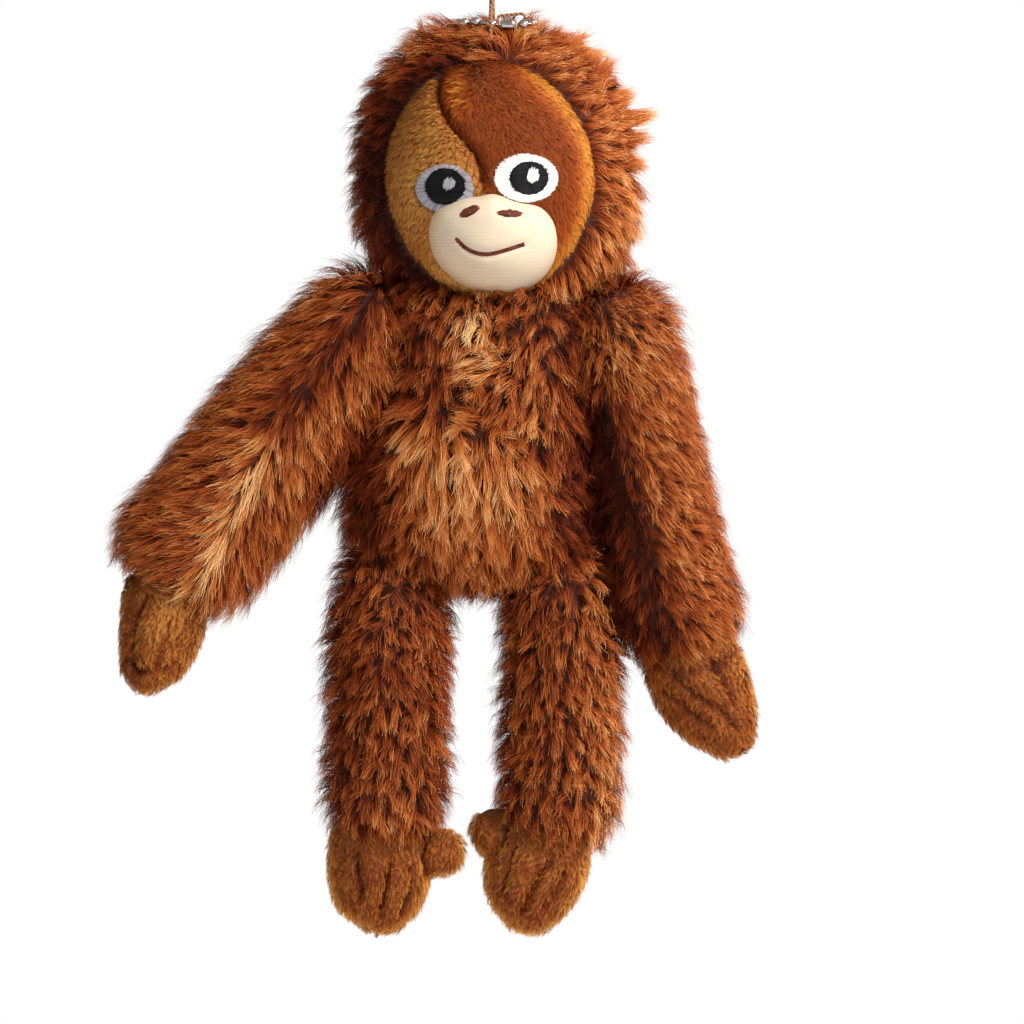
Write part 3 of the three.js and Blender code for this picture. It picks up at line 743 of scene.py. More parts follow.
def muzzle_share(x, z):
    dx, dz = x - MUZZLE_AT[0], z - MUZZLE_AT[1]
    return np.hypot(dx, dz) / muzzle_radius(np.arctan2(dz, dx))


def in_muzzle(x, z, share):
    return muzzle_share(x, z) < share


def muzzle_front(x, z):
    share = np.minimum(muzzle_share(x, z), 1)
    nose = 1.0 * np.exp(-(((x - MUZZLE_AT[0]) / 6) ** 2 + ((z - MUZZLE_AT[1] - 8.5) / 3.4) ** 2))
    lip = 0.7 * np.exp(-((z - mouth_height(x)) / 1.2) ** 2) * smoothstep(10, 6, np.abs(x - MUZZLE_AT[0]))
    return face_front(x, z) - 0.5 - (MUZZLE_BULGE + nose) * (1 - share ** 2.4) ** 0.62 + lip


MOUTH = [[-8.6, -64.8], [-6.4, -67], [-3.6, -68.3], [-0.4, -68.5], [3.6, -67.5], [7.6, -66.2]]


def mouth_height(x):
    at = np.array(MOUTH)
    return np.interp(x, at[:, 0], at[:, 1])


def muzzle():
    rings, around = 26, 96
    share = np.r_[np.linspace(0.04, 0.9, rings - 6), 0.93, 0.96, 0.98, 0.995, 1.0, 1.0]
    angle = np.linspace(-math.pi, math.pi, around, endpoint=False)
    radius = muzzle_radius(angle)
    x = MUZZLE_AT[0] + share[:, None] * radius * np.cos(angle)
    z = MUZZLE_AT[1] + share[:, None] * radius * np.sin(angle)
    y = muzzle_front(x, z)
    y[-1] += 1.2
    verts = np.vstack([np.stack([x, y, z], 2).reshape(-1, 3),
                       [[MUZZLE_AT[0], muzzle_front(*MUZZLE_AT), MUZZLE_AT[1]]]])
    quads = ring_quads(rings, around)
    hub = np.full(around, len(verts) - 1)
    n = np.arange(around)
    tris = np.vstack([quads[:, [0, 1, 2]], quads[:, [0, 2, 3]], np.stack([hub, (n + 1) % around, n], 1)])
    if vertex_normals(verts, tris)[-1, 1] > 0:
        tris = tris[:, ::-1]
    patch = make_object("muzzle_knit", verts, tris, KNIT)
    # Painted shade: the muzzle is darker at its edge and at its lower -X side, away from the key light.
    toward_lit_side = ((verts[:, 0] - MUZZLE_AT[0]) + (verts[:, 2] - MUZZLE_AT[1])) / 15
    edge = smoothstep(0.8, 1.0, muzzle_share(verts[:, 0], verts[:, 2]))
    painted_shading = 1 - 0.3 * edge - 0.34 * smoothstep(0.4, -1.1, toward_lit_side)
    set_shade(patch, np.clip(painted_shading, 0, 1))
    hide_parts("muzzle_patch")
    rides("head", patch)


def knit_material():
    s = Shader("muzzle_knit")
    ribs = s.wave(420.0, 0.6, "Z")
    mottle = s.noise(140.0)
    grain = s.math("ADD", s.math("MULTIPLY", ribs, 0.09), s.math("MULTIPLY", mottle, 0.24))
    shade = s.math("ADD", s.math("MULTIPLY", s.attribute("shade"), 0.68), grain)
    # The darker stops carry the muzzle's painted shade.
    colour = s.ramp(shade, [(0.1, (150, 112, 78)), (0.45, (196, 170, 140)), (0.75, (212, 196, 172)),
                            (1.0, (218, 204, 182))])
    return s.finish(colour, 0.8, 0.95, mottle, ribs, 0.00004)


KNIT = knit_material()


# Embroidery

def thread_material(name, low, high, sheen=0.3):
    s = Shader(name)
    grain = s.noise(2600.0)
    colour = s.ramp(s.attribute("shade"), [(0.0, low), (1.0, high)])
    return s.finish(colour, 0.45, 0.7, grain, grain, 0.0001, Sheen_Weight=sheen, Specular_IOR_Level=0.15)


WHITE_THREAD = thread_material("white_thread", (214, 214, 208), (252, 252, 248))
# A shaded copy of the white thread: painted shade for the right eye, which lies on the -X side, away from the
# key light.
SHADED_WHITE_THREAD = thread_material("shaded_white_thread", (113, 113, 121), (174, 173, 182))
BLACK_THREAD = thread_material("black_thread", (2, 2, 3), (22, 23, 27), 0.0)
BROWN_THREAD = thread_material("brown_thread", (46, 16, 12), (112, 54, 40), 0.0)


def stitches(name, starts, ends, front, lift, width, material, seed):
    """Threads laid from start to end, [x, z], over a surface, each with a raised middle."""
    rng = np.random.default_rng(seed)
    starts, ends = np.asarray(starts, float), np.asarray(ends, float)
    count, steps = len(starts), 6
    t = np.linspace(0, 1, steps)[None, :, None]
    flat = starts[:, None] * (1 - t) + ends[:, None] * t
    way = unit(ends - starts)
    taper = np.sqrt(np.maximum(1 - (2 * t - 1) ** 4, 0.12))
    side = np.stack([-way[:, 1], way[:, 0]], 1)[:, None] * (width / 2) * taper
    swell = np.sqrt(np.sin(np.pi * (0.08 + 0.84 * t[..., 0])))
    rows = []
    for k, height in ((-1, 0.0), (-0.5, 0.75), (0.5, 0.75), (1, 0.0)):
        at = flat + side * k
        y = front(at[..., 0], at[..., 1]) - lift - width * 0.5 * height * swell
        rows.append(np.stack([at[..., 0], y, at[..., 1]], 2))
    verts = np.stack(rows, 2)
    across = len(rows)
    base = np.arange(count)[:, None, None] * steps * across
    i, j = np.meshgrid(np.arange(steps - 1), np.arange(across - 1), indexing="ij")
    a = base + i[None] * across + j[None]
    quads = np.stack([a, a + 1, a + 1 + across, a + across], 3).reshape(-1, 4)
    obj = make_object(name, verts.reshape(-1, 3), quads, material)
    set_shade(obj, np.repeat(rng.uniform(0.15, 0.95, count), steps * across))
    return obj


def round_patch(name, centre, radii, front, lift, material, shade):
    """A thin disc of thread under the stitches."""
    around, rings = 48, 6
    angle = np.linspace(0, 2 * math.pi, around, endpoint=False)
    share = np.r_[np.linspace(0.02, 1, rings), 1.0]
    x = centre[0] + share[:, None] * radii[0] * np.cos(angle)
    z = centre[1] + share[:, None] * radii[1] * np.sin(angle)
    y = front(x, z) - lift
    y[-1] += lift + 0.2
    obj = make_object(name, np.stack([x, y, z], 2).reshape(-1, 3), ring_quads(rings + 1, around), material)
    set_shade(obj, np.full(len(obj.data.vertices), shade))
    return obj


EYE_SHIFT = np.array([0.0, -0.4])
IRIS_SHIFT = {"right": np.array([0.5, -0.4]), "left": np.array([0.3, -0.8])}
IRIS_SHAPE = {"right": (1.1, 0.98), "left": (1.1, 0.92)}


def eye_from(side):
    white, iris, glint = f"eye_white_{side}", f"eye_iris_{side}", f"eye_glint_{side}"
    return {
        "centre": front_centre(white) + EYE_SHIFT,
        "radii": front_radii(white),
        "iris": front_centre(iris) + IRIS_SHIFT[side],
        "iris_radii": front_radii(iris) * IRIS_SHAPE[side],
        "glint": front_centre(glint) + IRIS_SHIFT[side],
    }


EYES = {side: eye_from(side) for side in SIDES}


def in_eye(eye, x, z, share):
    dx, dz = (x - eye["centre"][0]) / eye["radii"][0], (z - eye["centre"][1]) / eye["radii"][1]
    return np.hypot(dx, dz) < share


def filled(centre, radii, pitch, turn, rng, ragged=0.3, pieces=2):
    """Starts and ends of parallel threads that fill an oval."""
    starts, ends = [], []
    along = np.array([math.cos(turn), math.sin(turn)])
    over = np.array([-along[1], along[0]])
    for off in np.arange(-radii[1] + pitch / 2, radii[1], pitch):
        half = radii[0] * math.sqrt(max(1 - (off / radii[1]) ** 2, 0.03))
        cuts = np.linspace(-half, half, pieces + 1) + rng.uniform(-ragged, ragged, pieces + 1)
        for k in range(pieces):
            starts.append(centre + along * (cuts[k] - 0.1) + over * off)
            ends.append(centre + along * (cuts[k + 1] + 0.1) + over * (off + rng.uniform(-0.08, 0.08)))
    return starts, ends


GLINT_SIZE = {"right": (1.4, 1.4), "left": (1.9, 1.4)}
NOSTRIL = {  # how far it lies from the node's middle, its radii and the turn of its threads
    "right": ((0.5, -0.5), (2.5, 1.05), 0.42),
    "left": ((0.2, -1.0), (3.0, 0.85), -0.04),
}
RIM_THREADS = 150


def on_oval(centre, radii, angle):
    return centre + np.stack([np.cos(angle), np.sin(angle)], 1) * radii


def eyes():
    rng = np.random.default_rng(5)
    for side, eye in EYES.items():
        # The right eye's ring, disc and glint are sewn in painted shade.
        thread = SHADED_WHITE_THREAD if side == "right" else WHITE_THREAD
        disc = round_patch(f"eye_disc_{side}", eye["centre"], eye["radii"] * 0.97,
                           face_front, 0.5, thread, 0.4)
        pupil = round_patch(f"eye_pupil_{side}", eye["iris"], eye["iris_radii"] * 0.97,
                            face_front, 0.72, BLACK_THREAD, 0.1)
        angle = np.linspace(0, 2 * math.pi, RIM_THREADS, endpoint=False)
        ragged = rng.uniform(0.97, 1.03, RIM_THREADS)[:, None]
        rim = on_oval(eye["centre"], eye["radii"] * ragged, angle)
        ragged = rng.uniform(0.9, 1.0, RIM_THREADS)[:, None]
        inner = on_oval(eye["iris"], eye["iris_radii"] * ragged, angle + 0.05)
        white = stitches(f"eye_ring_{side}", inner, rim, face_front, 0.55, 0.34, thread, 31)
        threads = filled(eye["iris"], eye["iris_radii"], 0.3, 0.15, rng)
        iris = stitches(f"eye_iris_thread_{side}", *threads, face_front, 0.78, 0.38, BLACK_THREAD, 32)
        threads = filled(eye["glint"], GLINT_SIZE[side], 0.3, 1.35, rng, 0.35, 1)
        glint = stitches(f"eye_glint_thread_{side}", *threads, face_front, 1.0, 0.36, thread, 33)
        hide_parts(f"eye_white_{side}")
        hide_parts(f"eye_iris_{side}")
        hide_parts(f"eye_glint_{side}")
        shift, size, turn = NOSTRIL[side]
        threads = filled(front_centre(f"nostril_{side}") + shift, size, 0.26, turn, rng, 0.25, 2)
        nose = stitches(f"nostril_thread_{side}", *threads, muzzle_front, 0.05, 0.36, BROWN_THREAD, 34)
        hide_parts(f"nostril_{side}")
        rides("head", disc, pupil, white, iris, glint, nose)


def mouth():
    line = curve_through(flat_line(MOUTH), 19)[:, [0, 2]]
    step = unit(np.diff(line, axis=0))
    over = np.stack([-step[:, 1], step[:, 0]], 1)
    starts, ends = [], []
    for k in (-1, 1):
        starts.append(line[:-1] - step * 0.15 + over * 0.05 * k)
        ends.append(line[1:] + step * 0.25 + over * 0.3 * k)
    starts, ends = np.vstack(starts), np.vstack(ends)
    lips = stitches("mouth_thread", starts, ends, muzzle_front, 0.1, 0.58, BROWN_THREAD, 41)
    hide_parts("mouth_stitching")
    rides("head", lips)


# Body

WHORLS = np.array([[-12.0, -12, -104.5], [-1.4, -12, -111.0]])
CHEST_SEAM = [[2.4, -79], [0.9, -86.5], [-4.6, -92.2], [-9.6, -100], [-11, -103.5]]


TORSO_ROWS = [  # across from its middle, up from the neck, half across, half deep
    (0.2, 3, 21, 11), (0.4, 0, 24, 12), (0.6, -4, 25.4, 14.5), (0.6, -12.5, 24.5, 16.5),
    (0, -27.5, 24, 17.5), (-1.4, -40, 25.8, 18), (-3.2, -51, 28, 17.4), (-2.6, -57, 27, 16),
    (-2.75, -62.5, 21, 14.5), (-2.75, -66.5, 9, 11),
]
TORSO_HAIR = dict(per_mm2=4.6, length=6.8, lift=0.82, lock=2.0, gather=0.7, spread=0.3)


def spot(p, x, z, wide, tall):
    """1 at a place on the front, fading out round it."""
    return np.exp(-(((p[:, 0] - x) / wide) ** 2 + ((p[:, 2] - z) / tall) ** 2)) * smoothstep(2, -6, p[:, 1])


def torso():
    x, y = TORSO_MID[0], TORSO_MID[1]
    rows = [[x + aside, y, NECK[2] + up, wide, deep] for aside, up, wide, deep in TORSO_ROWS]
    skin = stuffed(rows, 3.5, 2.5, rows=50, around=80, square=0.95)
    obj = make_object("torso_skin", *skin, BACKING)
    points, tris = filled_out(obj, y, lambda p: (p[:, 2] > NECK[2] - 6) | (p[:, 2] < NECK[2] - 62))
    points = pressed_in(points, vertex_normals(points, tris), CHEST_SEAM, 2.2, 1.6)
    set_points(obj, points)
    skin = (points, tris)
    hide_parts("torso_front_right", "torso_front_left", "torso_back", "torso_stuffing")
    rides("torso", obj)
    seam = np.array(CHEST_SEAM)

    def comb(p, n):
        front = smoothstep(2, -8, p[:, 1])
        apart = p[:, 0] - np.interp(-p[:, 2], -seam[:, 1], seam[:, 0])
        fan = [unit((p - w) * [1, 0, 1]) for w in WHORLS]
        near = smoothstep(-9, -4.5, p[:, 0])[:, None]
        fan = fan[0] * (1 - near) + fan[1] * near
        low = smoothstep(-101, -107, p[:, 2] + 0.75 * (p[:, 0] + 7) * (p[:, 0] > -7))[:, None]
        side = np.clip(p[:, 0] / 20, -1, 1)
        outwards = 0.3 * side - 0.5 * (apart > 0) * smoothstep(20, 4, p[:, 0])
        chest = np.stack([outwards, 0 * side, -0.9 + 0 * side], 1)
        across = spot(p, -1.5, -94, 7, 7)[:, None] * (apart > 0)[:, None]
        chest = chest * (1 - across) + np.array([-1.0, 0, -0.25]) * across
        way = chest * (1 - low) + unit(fan + 0.4 * DOWN) * low
        way = way * front[:, None] + DOWN * (1 - front)[:, None]
        whorl_gap = np.min([np.linalg.norm((p - w)[:, [0, 2]], axis=1) for w in WHORLS], axis=0)
        fans = np.exp(-((whorl_gap - 9) / 7) ** 2)
        belly = (spot(p, -6, -123, 15, 20) * 0.8 + 0.7 * fans * front) * low[:, 0]
        gap = spot(p, -7, -103.8, 4.2, 3) + 1.1 * np.exp(-(apart / 1.5) ** 2) * front * (p[:, 2] > -104)
        # Painted shade: the front is darker at its sides and where the arms meet it.
        shaded_flank = smoothstep(15, 23, np.abs(p[:, 0] + 3)) * front
        arm_shadow = spot(p, -26, -100, 4.5, 17) + spot(p, 23.5, -102, 4.5, 16)
        shade = (0.43 + 0.22 * belly + 0.6 * spot(p, -4.4, -86.5, 3.2, 5.5) + 0.3 * across[:, 0] - 0.45 * gap
                 - 0.26 * shaded_flank - 0.3 * arm_shadow + 0.06 * spot(p, 13, -98, 8, 14)
                 + 0.2 * spot(p, 8.6, -108.5, 3, 3)
                 - 0.24 * spot(p, 17, -131, 5, 9) - 0.1 * spot(p, -18, -93, 6, 8))
        rich = np.minimum(belly, 1)
        longer = 1 + 0.3 * rich * (1 - np.minimum(gap * 2, 1)) - 0.55 * np.minimum(gap, 1)
        return way, 1 - 0.3 * rich, longer, shade

    rides("torso", *fibres("torso_fur", skin, comb, LONG_FUR, 12, **TORSO_HAIR))


# Limbs

def frame_along(start, end):
    """The way along a limb and the way across it, outwards, in the plane of the front."""
    along = unit((end - start) * [1, 0, 1])
    across = np.array([-along[2], 0, along[0]])
    return along, across * (1 if across[0] * start[0] > 0 else -1)


def stations_along(start, along, across, rows):
    """Rows of [along, half across, half deep, shift across] as stations in space."""
    return [[*(start + along * s + across * shift), wide, deep] for s, wide, deep, shift in rows]


SPLIT = 22  # how far down a limb its fur is split into an upper and a lower lot


def limb_fur(name, body, obj, skin, comb, hair, seed, down, bend):
    """A limb's fur in two lots: the upper stays where it is with the limb's skin, on no body, the lower rides
    on the limb. down(points) is how far down the limb they are."""
    tops = fibres(f"{name}_fur_top", skin, comb, LONG_FUR, seed, keep=lambda p, n: down(p) < SPLIT, **hair)
    rest = fibres(f"{name}_fur", skin, comb, LONG_FUR, seed + 1, keep=lambda p, n: down(p) >= SPLIT, **hair)
    bends("torso", body, *bend, obj, *tops)
    rides(body, *rest)


ARM_ROWS = {
    "right": [(-6, 9, 10.4, 4.2), (0, 12.4, 12.2, 3.2), (8, 14.6, 12.5, 1.8), (16, 15.9, 12.5, 1.3),
              (40, 15.8, 12.5, 1.6), (62, 15.8, 12.2, 1.2), (70, 15.4, 11.9, 1.6), (75, 13, 11.2, 1.4)],
    "left": [(-6, 9, 10.2, -3.4), (0, 11, 12.4, -1.8), (8, 11.4, 13.4, -1.5), (16, 11.4, 13.6, -1.8),
             (40, 11.9, 13.4, -2.1), (63, 12.8, 12.9, -2.0), (71, 12.2, 12.2, -0.8), (75, 10.6, 11.4, -0.2)],
}
ARM_HAIR = {
    "right": dict(per_mm2=4.6, length=6.8, lift=0.72, lock=1.6, gather=0.6, spread=0.2, curl=0.15,
                  depth=0.5),
    "left": dict(per_mm2=5.2, length=5.8, lift=0.8, lock=1.5, gather=0.45, spread=0.26, curl=0.25,
                 depth=0.42),
}
ARM_SEAM = {"right": ((22, 5.5), (72, -5.7)), "left": ((10, -8.5), (60, -6))}


def arm(side):
    shoulder, wrist = JOINT[f"{side}_shoulder_swing"], JOINT[f"{side}_wrist_flap"]
    along, across = frame_along(shoulder, wrist)
    skin = stuffed(stations_along(shoulder, along, across, ARM_ROWS[side]), 4.5, 2.5, rows=60, around=64)
    obj = make_object(f"arm_{side}_skin", *skin, BACKING)

    def down(p):
        return (p - shoulder) @ along

    skin = filled_out(obj, shoulder[1], lambda p: (down(p) < 6) | (down(p) > 71))
    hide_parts(f"arm_{side}_outer", f"arm_{side}_inner", f"arm_{side}_stuffing")
    (s0, a0), (s1, a1) = ARM_SEAM[side]

    def comb(p, n):
        s = down(p)
        off = (p - shoulder) @ across - np.interp(s, [s0, s1], [a0, a1])
        front = smoothstep(2, -6, p[:, 1])
        parting = np.tanh(off / 3)
        sideways = (0.85 if side == "right" else 0.6) * parting * front
        way = across * sideways[:, None] + along * (1.0 - 0.35 * np.abs(sideways))[:, None] + 0.2 * DOWN
        seam_width = 2.4 if side == "right" else 1.6
        near = np.exp(-(off / seam_width) ** 2) * front * smoothstep(s0 - 4, s0 + 4, s)
        top = smoothstep(6, -4, s)
        a = (p - shoulder) @ across
        # Painted shade: the arm's inner side, next to the torso, is darker.
        shaded_inside_arm = smoothstep(-6, -11, a) * smoothstep(50, 30, s)
        if side == "right":
            blond = near * smoothstep(26, 40, s)
            dark = np.exp(-((off + 1) / 2.2) ** 2) * front * smoothstep(36, 24, s)
            shade = 0.485 + 0.4 * blond - 0.24 * dark + 0.06 * smoothstep(-3, -12, off) - 0.3 * shaded_inside_arm
            return way, 1 - 0.35 * near, 1 + 0.2 * top, shade
        whorl = np.exp(-((s - 4) ** 2 + (off + 2) ** 2) / 90) * front
        out = unit(p - shoulder - along * 3)
        way = way * (1 - whorl)[:, None] + out * whorl[:, None]
        # Painted shade in a band just inside the seam.
        shaded_valley = smoothstep(-2, -5, off) * smoothstep(-11, -8, off) * smoothstep(16, 24, s) * front
        fringe = smoothstep(-7, -9, off) * smoothstep(20, 30, s)
        # Painted light: the left arm is lighter on its outer side, facing the key light.
        shade = (0.34 - 0.34 * near + 0.3 * whorl - 0.34 * shaded_valley + 0.06 * fringe
                 + 0.2 * smoothstep(1, 8, off) - 0.3 * shaded_inside_arm * (1 - whorl))
        return way, 1 - 0.5 * near + 0.3 * top, 1 - 0.4 * near + 0.2 * top + 0.25 * whorl, shade

    bend = (shoulder - across * 6 - along * 6, shoulder + along * 16)
    limb_fur(f"arm_{side}", f"{side}_arm", obj, skin, comb, ARM_HAIR[side], 13, down, bend)


LEG_ROWS = {
    "right": [(-6, 8.6, 8.6, 0), (0, 10.8, 10.6, 0.6), (12, 11.6, 11.2, 1), (31, 11.6, 11, 1),
              (50, 11.6, 11, 0.8), (57, 10.6, 10.6, 0.6)],
    "left": [(-6, 8.6, 8.6, 0.4), (0, 10.8, 10.6, 1.4), (12, 11.4, 11.2, 2.4), (31, 11.4, 11, 2.4),
             (50, 11.6, 11, 2.2), (57, 10.8, 10.6, 0.8)],
}
LEG_HAIR = dict(per_mm2=4.6, length=6.4, lift=0.84, lock=1.8, gather=0.76, spread=0.34)


def leg(side):
    hip, ankle = JOINT[f"{side}_hip_swing"], JOINT[f"{side}_ankle_flap"]
    along, across = frame_along(hip, ankle)
    skin = stuffed(stations_along(hip, along, across, LEG_ROWS[side]), 4.5, 2.5, rows=50, around=56)
    obj = make_object(f"leg_{side}_skin", *skin, BACKING)

    def down(p):
        return (p - hip) @ along

    skin = filled_out(obj, hip[1], lambda p: (down(p) < 4) | (down(p) > 54))
    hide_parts(f"leg_{side}_front", f"leg_{side}_back", f"leg_{side}_stuffing")

    def comb(p, n):
        s = down(p)
        off = (p - hip) @ across
        way = along + across * (0.35 * np.clip(off / 8, -1, 1) * smoothstep(60, 0, s))[:, None]
        # Painted light and shade: the left leg's outer side is lighter, facing the key light, and the right
        # leg's outer side is darker.
        outer = smoothstep(2, 10, off) * (1.5 if side == "left" else -0.8)
        shade = 0.4 + 0.05 * smoothstep(10, 40, s) + 0.1 * outer
        return way, 1 + 0 * s, 1 + 0 * s, shade

    bend = (hip + UP * 8, hip + along * 14)
    limb_fur(f"leg_{side}", f"{side}_leg", obj, skin, comb, LEG_HAIR, 15, down, bend)


# Hands and feet

def turned(degrees):
    """Down and across, turned by degrees so that the lower end leans to -X."""
    turn = math.radians(degrees)
    return np.array([-math.sin(turn), 0, -math.cos(turn)]), np.array([math.cos(turn), 0, -math.sin(turn)])


HAND_LEAN = {"right": 8, "left": -20}
HAND_ROWS = {
    "right": [(-5, 7, 6.6, 0), (0, 9, 7.9, 0.2), (5, 9.6, 7.6, 0.8), (10, 9.4, 6.9, 0.9), (16, 8.2, 6.2, 0),
              (20, 6.4, 5, -0.9), (23, 3.8, 3.2, -1.1)],
    "left": [(-5, 7.4, 6.6, 0), (0, 10.6, 7.9, -0.4), (3, 11.4, 7.7, -0.8), (9.5, 11.3, 7, -0.5),
             (14, 10.4, 6.4, 0.2), (19, 8.4, 5.4, 1.2), (24.6, 5, 3.4, 2.2)],
}
HAND_FOLDS = {  # each fold's line of [across, down], depth and width
    "right": [([[-3.4, 2], [-5, 9], [-4.6, 15], [-3.4, 20]], 1.5, 1.1),
              ([[2.6, 6], [2.2, 12], [0.8, 17]], 0.5, 1.2), ([[-6, 17.5], [-1, 19.5], [5, 17]], 0.9, 0.9)],
    "left": [([[-6, 3], [-3, 9], [1, 14], [3.4, 20]], 0.9, 1.2),
             ([[-9, 6], [-5.6, 12], [-1.6, 17.5]], 0.7, 1.1), ([[3, 2], [4, 8], [5, 14]], 0.5, 1.3)],
}
FOOT_LEAN = {"right": 3, "left": 11}
FOOT_ROWS = {
    "right": [(-4, 8.6, 7.4, -0.6), (1, 11.6, 7.8, -1.6), (7, 11.9, 7.6, -1.6), (13, 11.2, 7.1, -1.2),
              (17.5, 8.8, 5.8, -0.4), (20.8, 5, 3.6, 0)],
    "left": [(-4, 8.6, 7.4, 0), (1, 11, 7.8, -1), (7, 11.9, 7.6, -1.9), (13, 10.9, 7.1, -1.9),
             (18, 8.4, 5.8, -1.5), (21.4, 5, 3.6, -1.2)],
}
TOE = {"right": ((12, 2.6), (6.2, 5, 5.6)), "left": ((-13, 1.2), (5.6, 5, 5.8))}
FOOT_FOLDS = {
    "right": [([[0.8, 6], [0, 12], [-1, 18]], 2.2, 0.8), ([[-7, 4], [-6.4, 9], [-5.6, 14]], 1.1, 0.8),
              ([[5.6, 7], [5.6, 12], [4, 17]], 1.1, 0.8), ([[10.4, -3], [8.8, 3], [9, 7.6]], 1.2, 0.9)],
    "left": [([[-7.6, 4], [-8, 10], [-8.6, 15]], 2.2, 0.8), ([[1, 5], [-1.4, 11], [-3, 18]], 2.2, 0.8),
             ([[5, 7], [3.6, 12], [1.8, 16]], 1.0, 0.8), ([[-11, -4], [-10, 1], [-11.4, 6]], 1.2, 0.9)],
}


END_NAP = dict(per_mm2=14, length=1.5, lift=0.6, width=0.12, lock=0.8, gather=0.45, spread=0.3, droop=0.03,
               segments=2, most=60000, depth=0.3, painted_tip_glint=0.1, soft=0.7, grain=0.045)


def stuffed_end(kind, side, pivot, lean, rows, folds, tint, extra=(), painted_rim_light=0.24):
    """A hand or foot: stuffed by simulation from its seam outwards, then stitched in along its folds."""
    down, across = turned(lean)
    form = stuffed(stations_along(pivot, down, across, rows), 3, 1.6, rows=40, around=44)
    obj = merged(f"{kind}_{side}_skin", [form, *extra], 0.9, 3, HAND_CLOTH)
    verts, _ = arrays(obj)
    seam = (np.abs(verts[:, 1] - pivot[1]) < 0.6) | ((verts - pivot) @ down < -2)
    puffed(obj, seam, 0.9)
    verts, tris = arrays(obj)
    for line, depth, width in folds:
        flat = [[(pivot + across * a + down * s)[0], (pivot + across * a + down * s)[2]] for a, s in line]
        verts = pressed_in(verts, vertex_normals(verts, tris), flat, depth, width)
    set_points(obj, verts)

    def comb(p, n):
        s = (p - pivot) @ down
        ways = down + 0.5 * ripple(p, 12, 8)
        lines = [[pivot + across * a + down * b for a, b in line] for line, _, _ in folds]
        apart = np.min([line_gap(p, line, 16) for line in lines], axis=0)
        # Painted shade: the pile is darker along the pressed-in folds.
        crease = np.exp(-(apart / 0.8) ** 2) * (p[:, 1] < pivot[1])
        # Painted light: the pile is lighter round the rim, where the hand or foot turns aside.
        rim = smoothstep(0.8, 0.25, np.abs(n[:, 1]))
        a = (p - pivot) @ across
        streaks = 0.03 * np.sin(a * 2.3 + 2.5 * np.sin(s * 0.4)) + 0.04 * ripple(p, 6, 9)[:, 0]
        return ways, 1 + 0 * s, 1 + 0.5 * rim, 0.45 + painted_rim_light * rim + streaks - 0.4 * crease + tint(a, s)

    body = f"{side}_{kind}"
    pile = fibres(f"{kind}_{side}_pile", (verts, tris), comb, HAND_PILE, 51,
                  keep=lambda p, n: (p - pivot) @ down > -2.5, **END_NAP)
    rides(body, obj, *pile)
    return obj


def hand(side):
    def tint(a, s):
        # Painted light and shade on the right hand: lighter in the middle, where the key light falls, and
        # darker at its -X edge. The left hand gets a dark band across near the wrist and grows darker down to
        # its tip.
        if side == "right":
            return 0.2 * np.exp(-((a - 1.5) / 4) ** 2 - ((s - 7) / 9) ** 2) - 0.14 * smoothstep(-3, -8, a)
        return -0.3 * np.exp(-((s - 4.5 + 0.04 * (a - 3) ** 2) / 1.2) ** 2) - 0.06 * smoothstep(4, 12, s)

    obj = stuffed_end("hand", side, JOINT[f"{side}_wrist_flap"], HAND_LEAN[side], HAND_ROWS[side],
                      HAND_FOLDS[side], tint)
    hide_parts(f"hand_{side}_palm", f"hand_{side}_back", f"hand_{side}_stuffing")


def foot(side):
    pivot = JOINT[f"{side}_ankle_flap"]
    down, across = turned(FOOT_LEAN[side])
    (out, along), radii = TOE[side]
    toe = ball(pivot + across * out + down * along, radii, 20 if side == "right" else -20)
    obj = stuffed_end("foot", side, pivot, FOOT_LEAN[side], FOOT_ROWS[side], FOOT_FOLDS[side],
                      lambda a, s: -0.05 + 0 * s, extra=[toe], painted_rim_light=0.42)
    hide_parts(f"foot_{side}_sole", f"foot_{side}_top", f"foot_{side}_stuffing")


# What it hangs from

def metal_material():
    s = Shader("nickel")
    grain = s.noise(700.0)
    colour = s.ramp(grain, [(0.3, (176, 176, 180)), (0.7, (222, 222, 226))])
    return s.finish(colour, 0.14, 0.3, grain, grain, 0.00002, Metallic=1.0)


def cord_material():
    s = Shader("brown_cord")
    ply = s.wave(520.0, 2.0, "DIAGONAL")
    colour = s.ramp(ply, [(0.1, (104, 58, 32)), (0.9, (176, 120, 80))])
    return s.finish(colour, 0.7, 0.9, s.noise(900.0), ply, 0.0002)


NICKEL = metal_material()
CORD_CLOTH = cord_material()

CORD_LINE = [
    [-0.3, -2.2, -17.2], [-0.3, -2.1, -15], [-0.3, -1.9, -12], [-0.2, -1, -9], [-0.1, -1.6, -6.2],
    [0, -2.3, -3.6], [0, -1.6, -1.1], [0, 0, 0], [0, 1.6, -1.1], [0, 2.3, -3.6], [0.1, 1.6, -6.2],
    [0.2, 1, -9], [0.3, 1.9, -12], [0.3, 2.1, -14.5],
]
CHAIN_LINE = [
    [1.5, 0, -13.1], [-1.6, 0, -12.8], [-4.4, 0.6, -12.4], [-6.8, 2.6, -12.7], [-8, 6, -12.9],
    [-8.2, 11, -13.9], [-8.2, 16.5, -17.3], [-8, 21.6, -22.8], [-7.6, 25.4, -29.6], [-5.4, 27.8, -35.4],
    [-0.6, 29, -38], [4.2, 28, -35.6], [7.4, 25.6, -29.8], [9.2, 21.8, -22.8], [10.2, 16.6, -17.4],
    [10.6, 11, -13.9], [10.4, 6, -12.8], [8.8, 1.8, -12.9], [5.9, 0, -13.2],
]
BEAD, BEAD_PITCH = 1.2, 3.6
CORD_RADIUS = 0.5


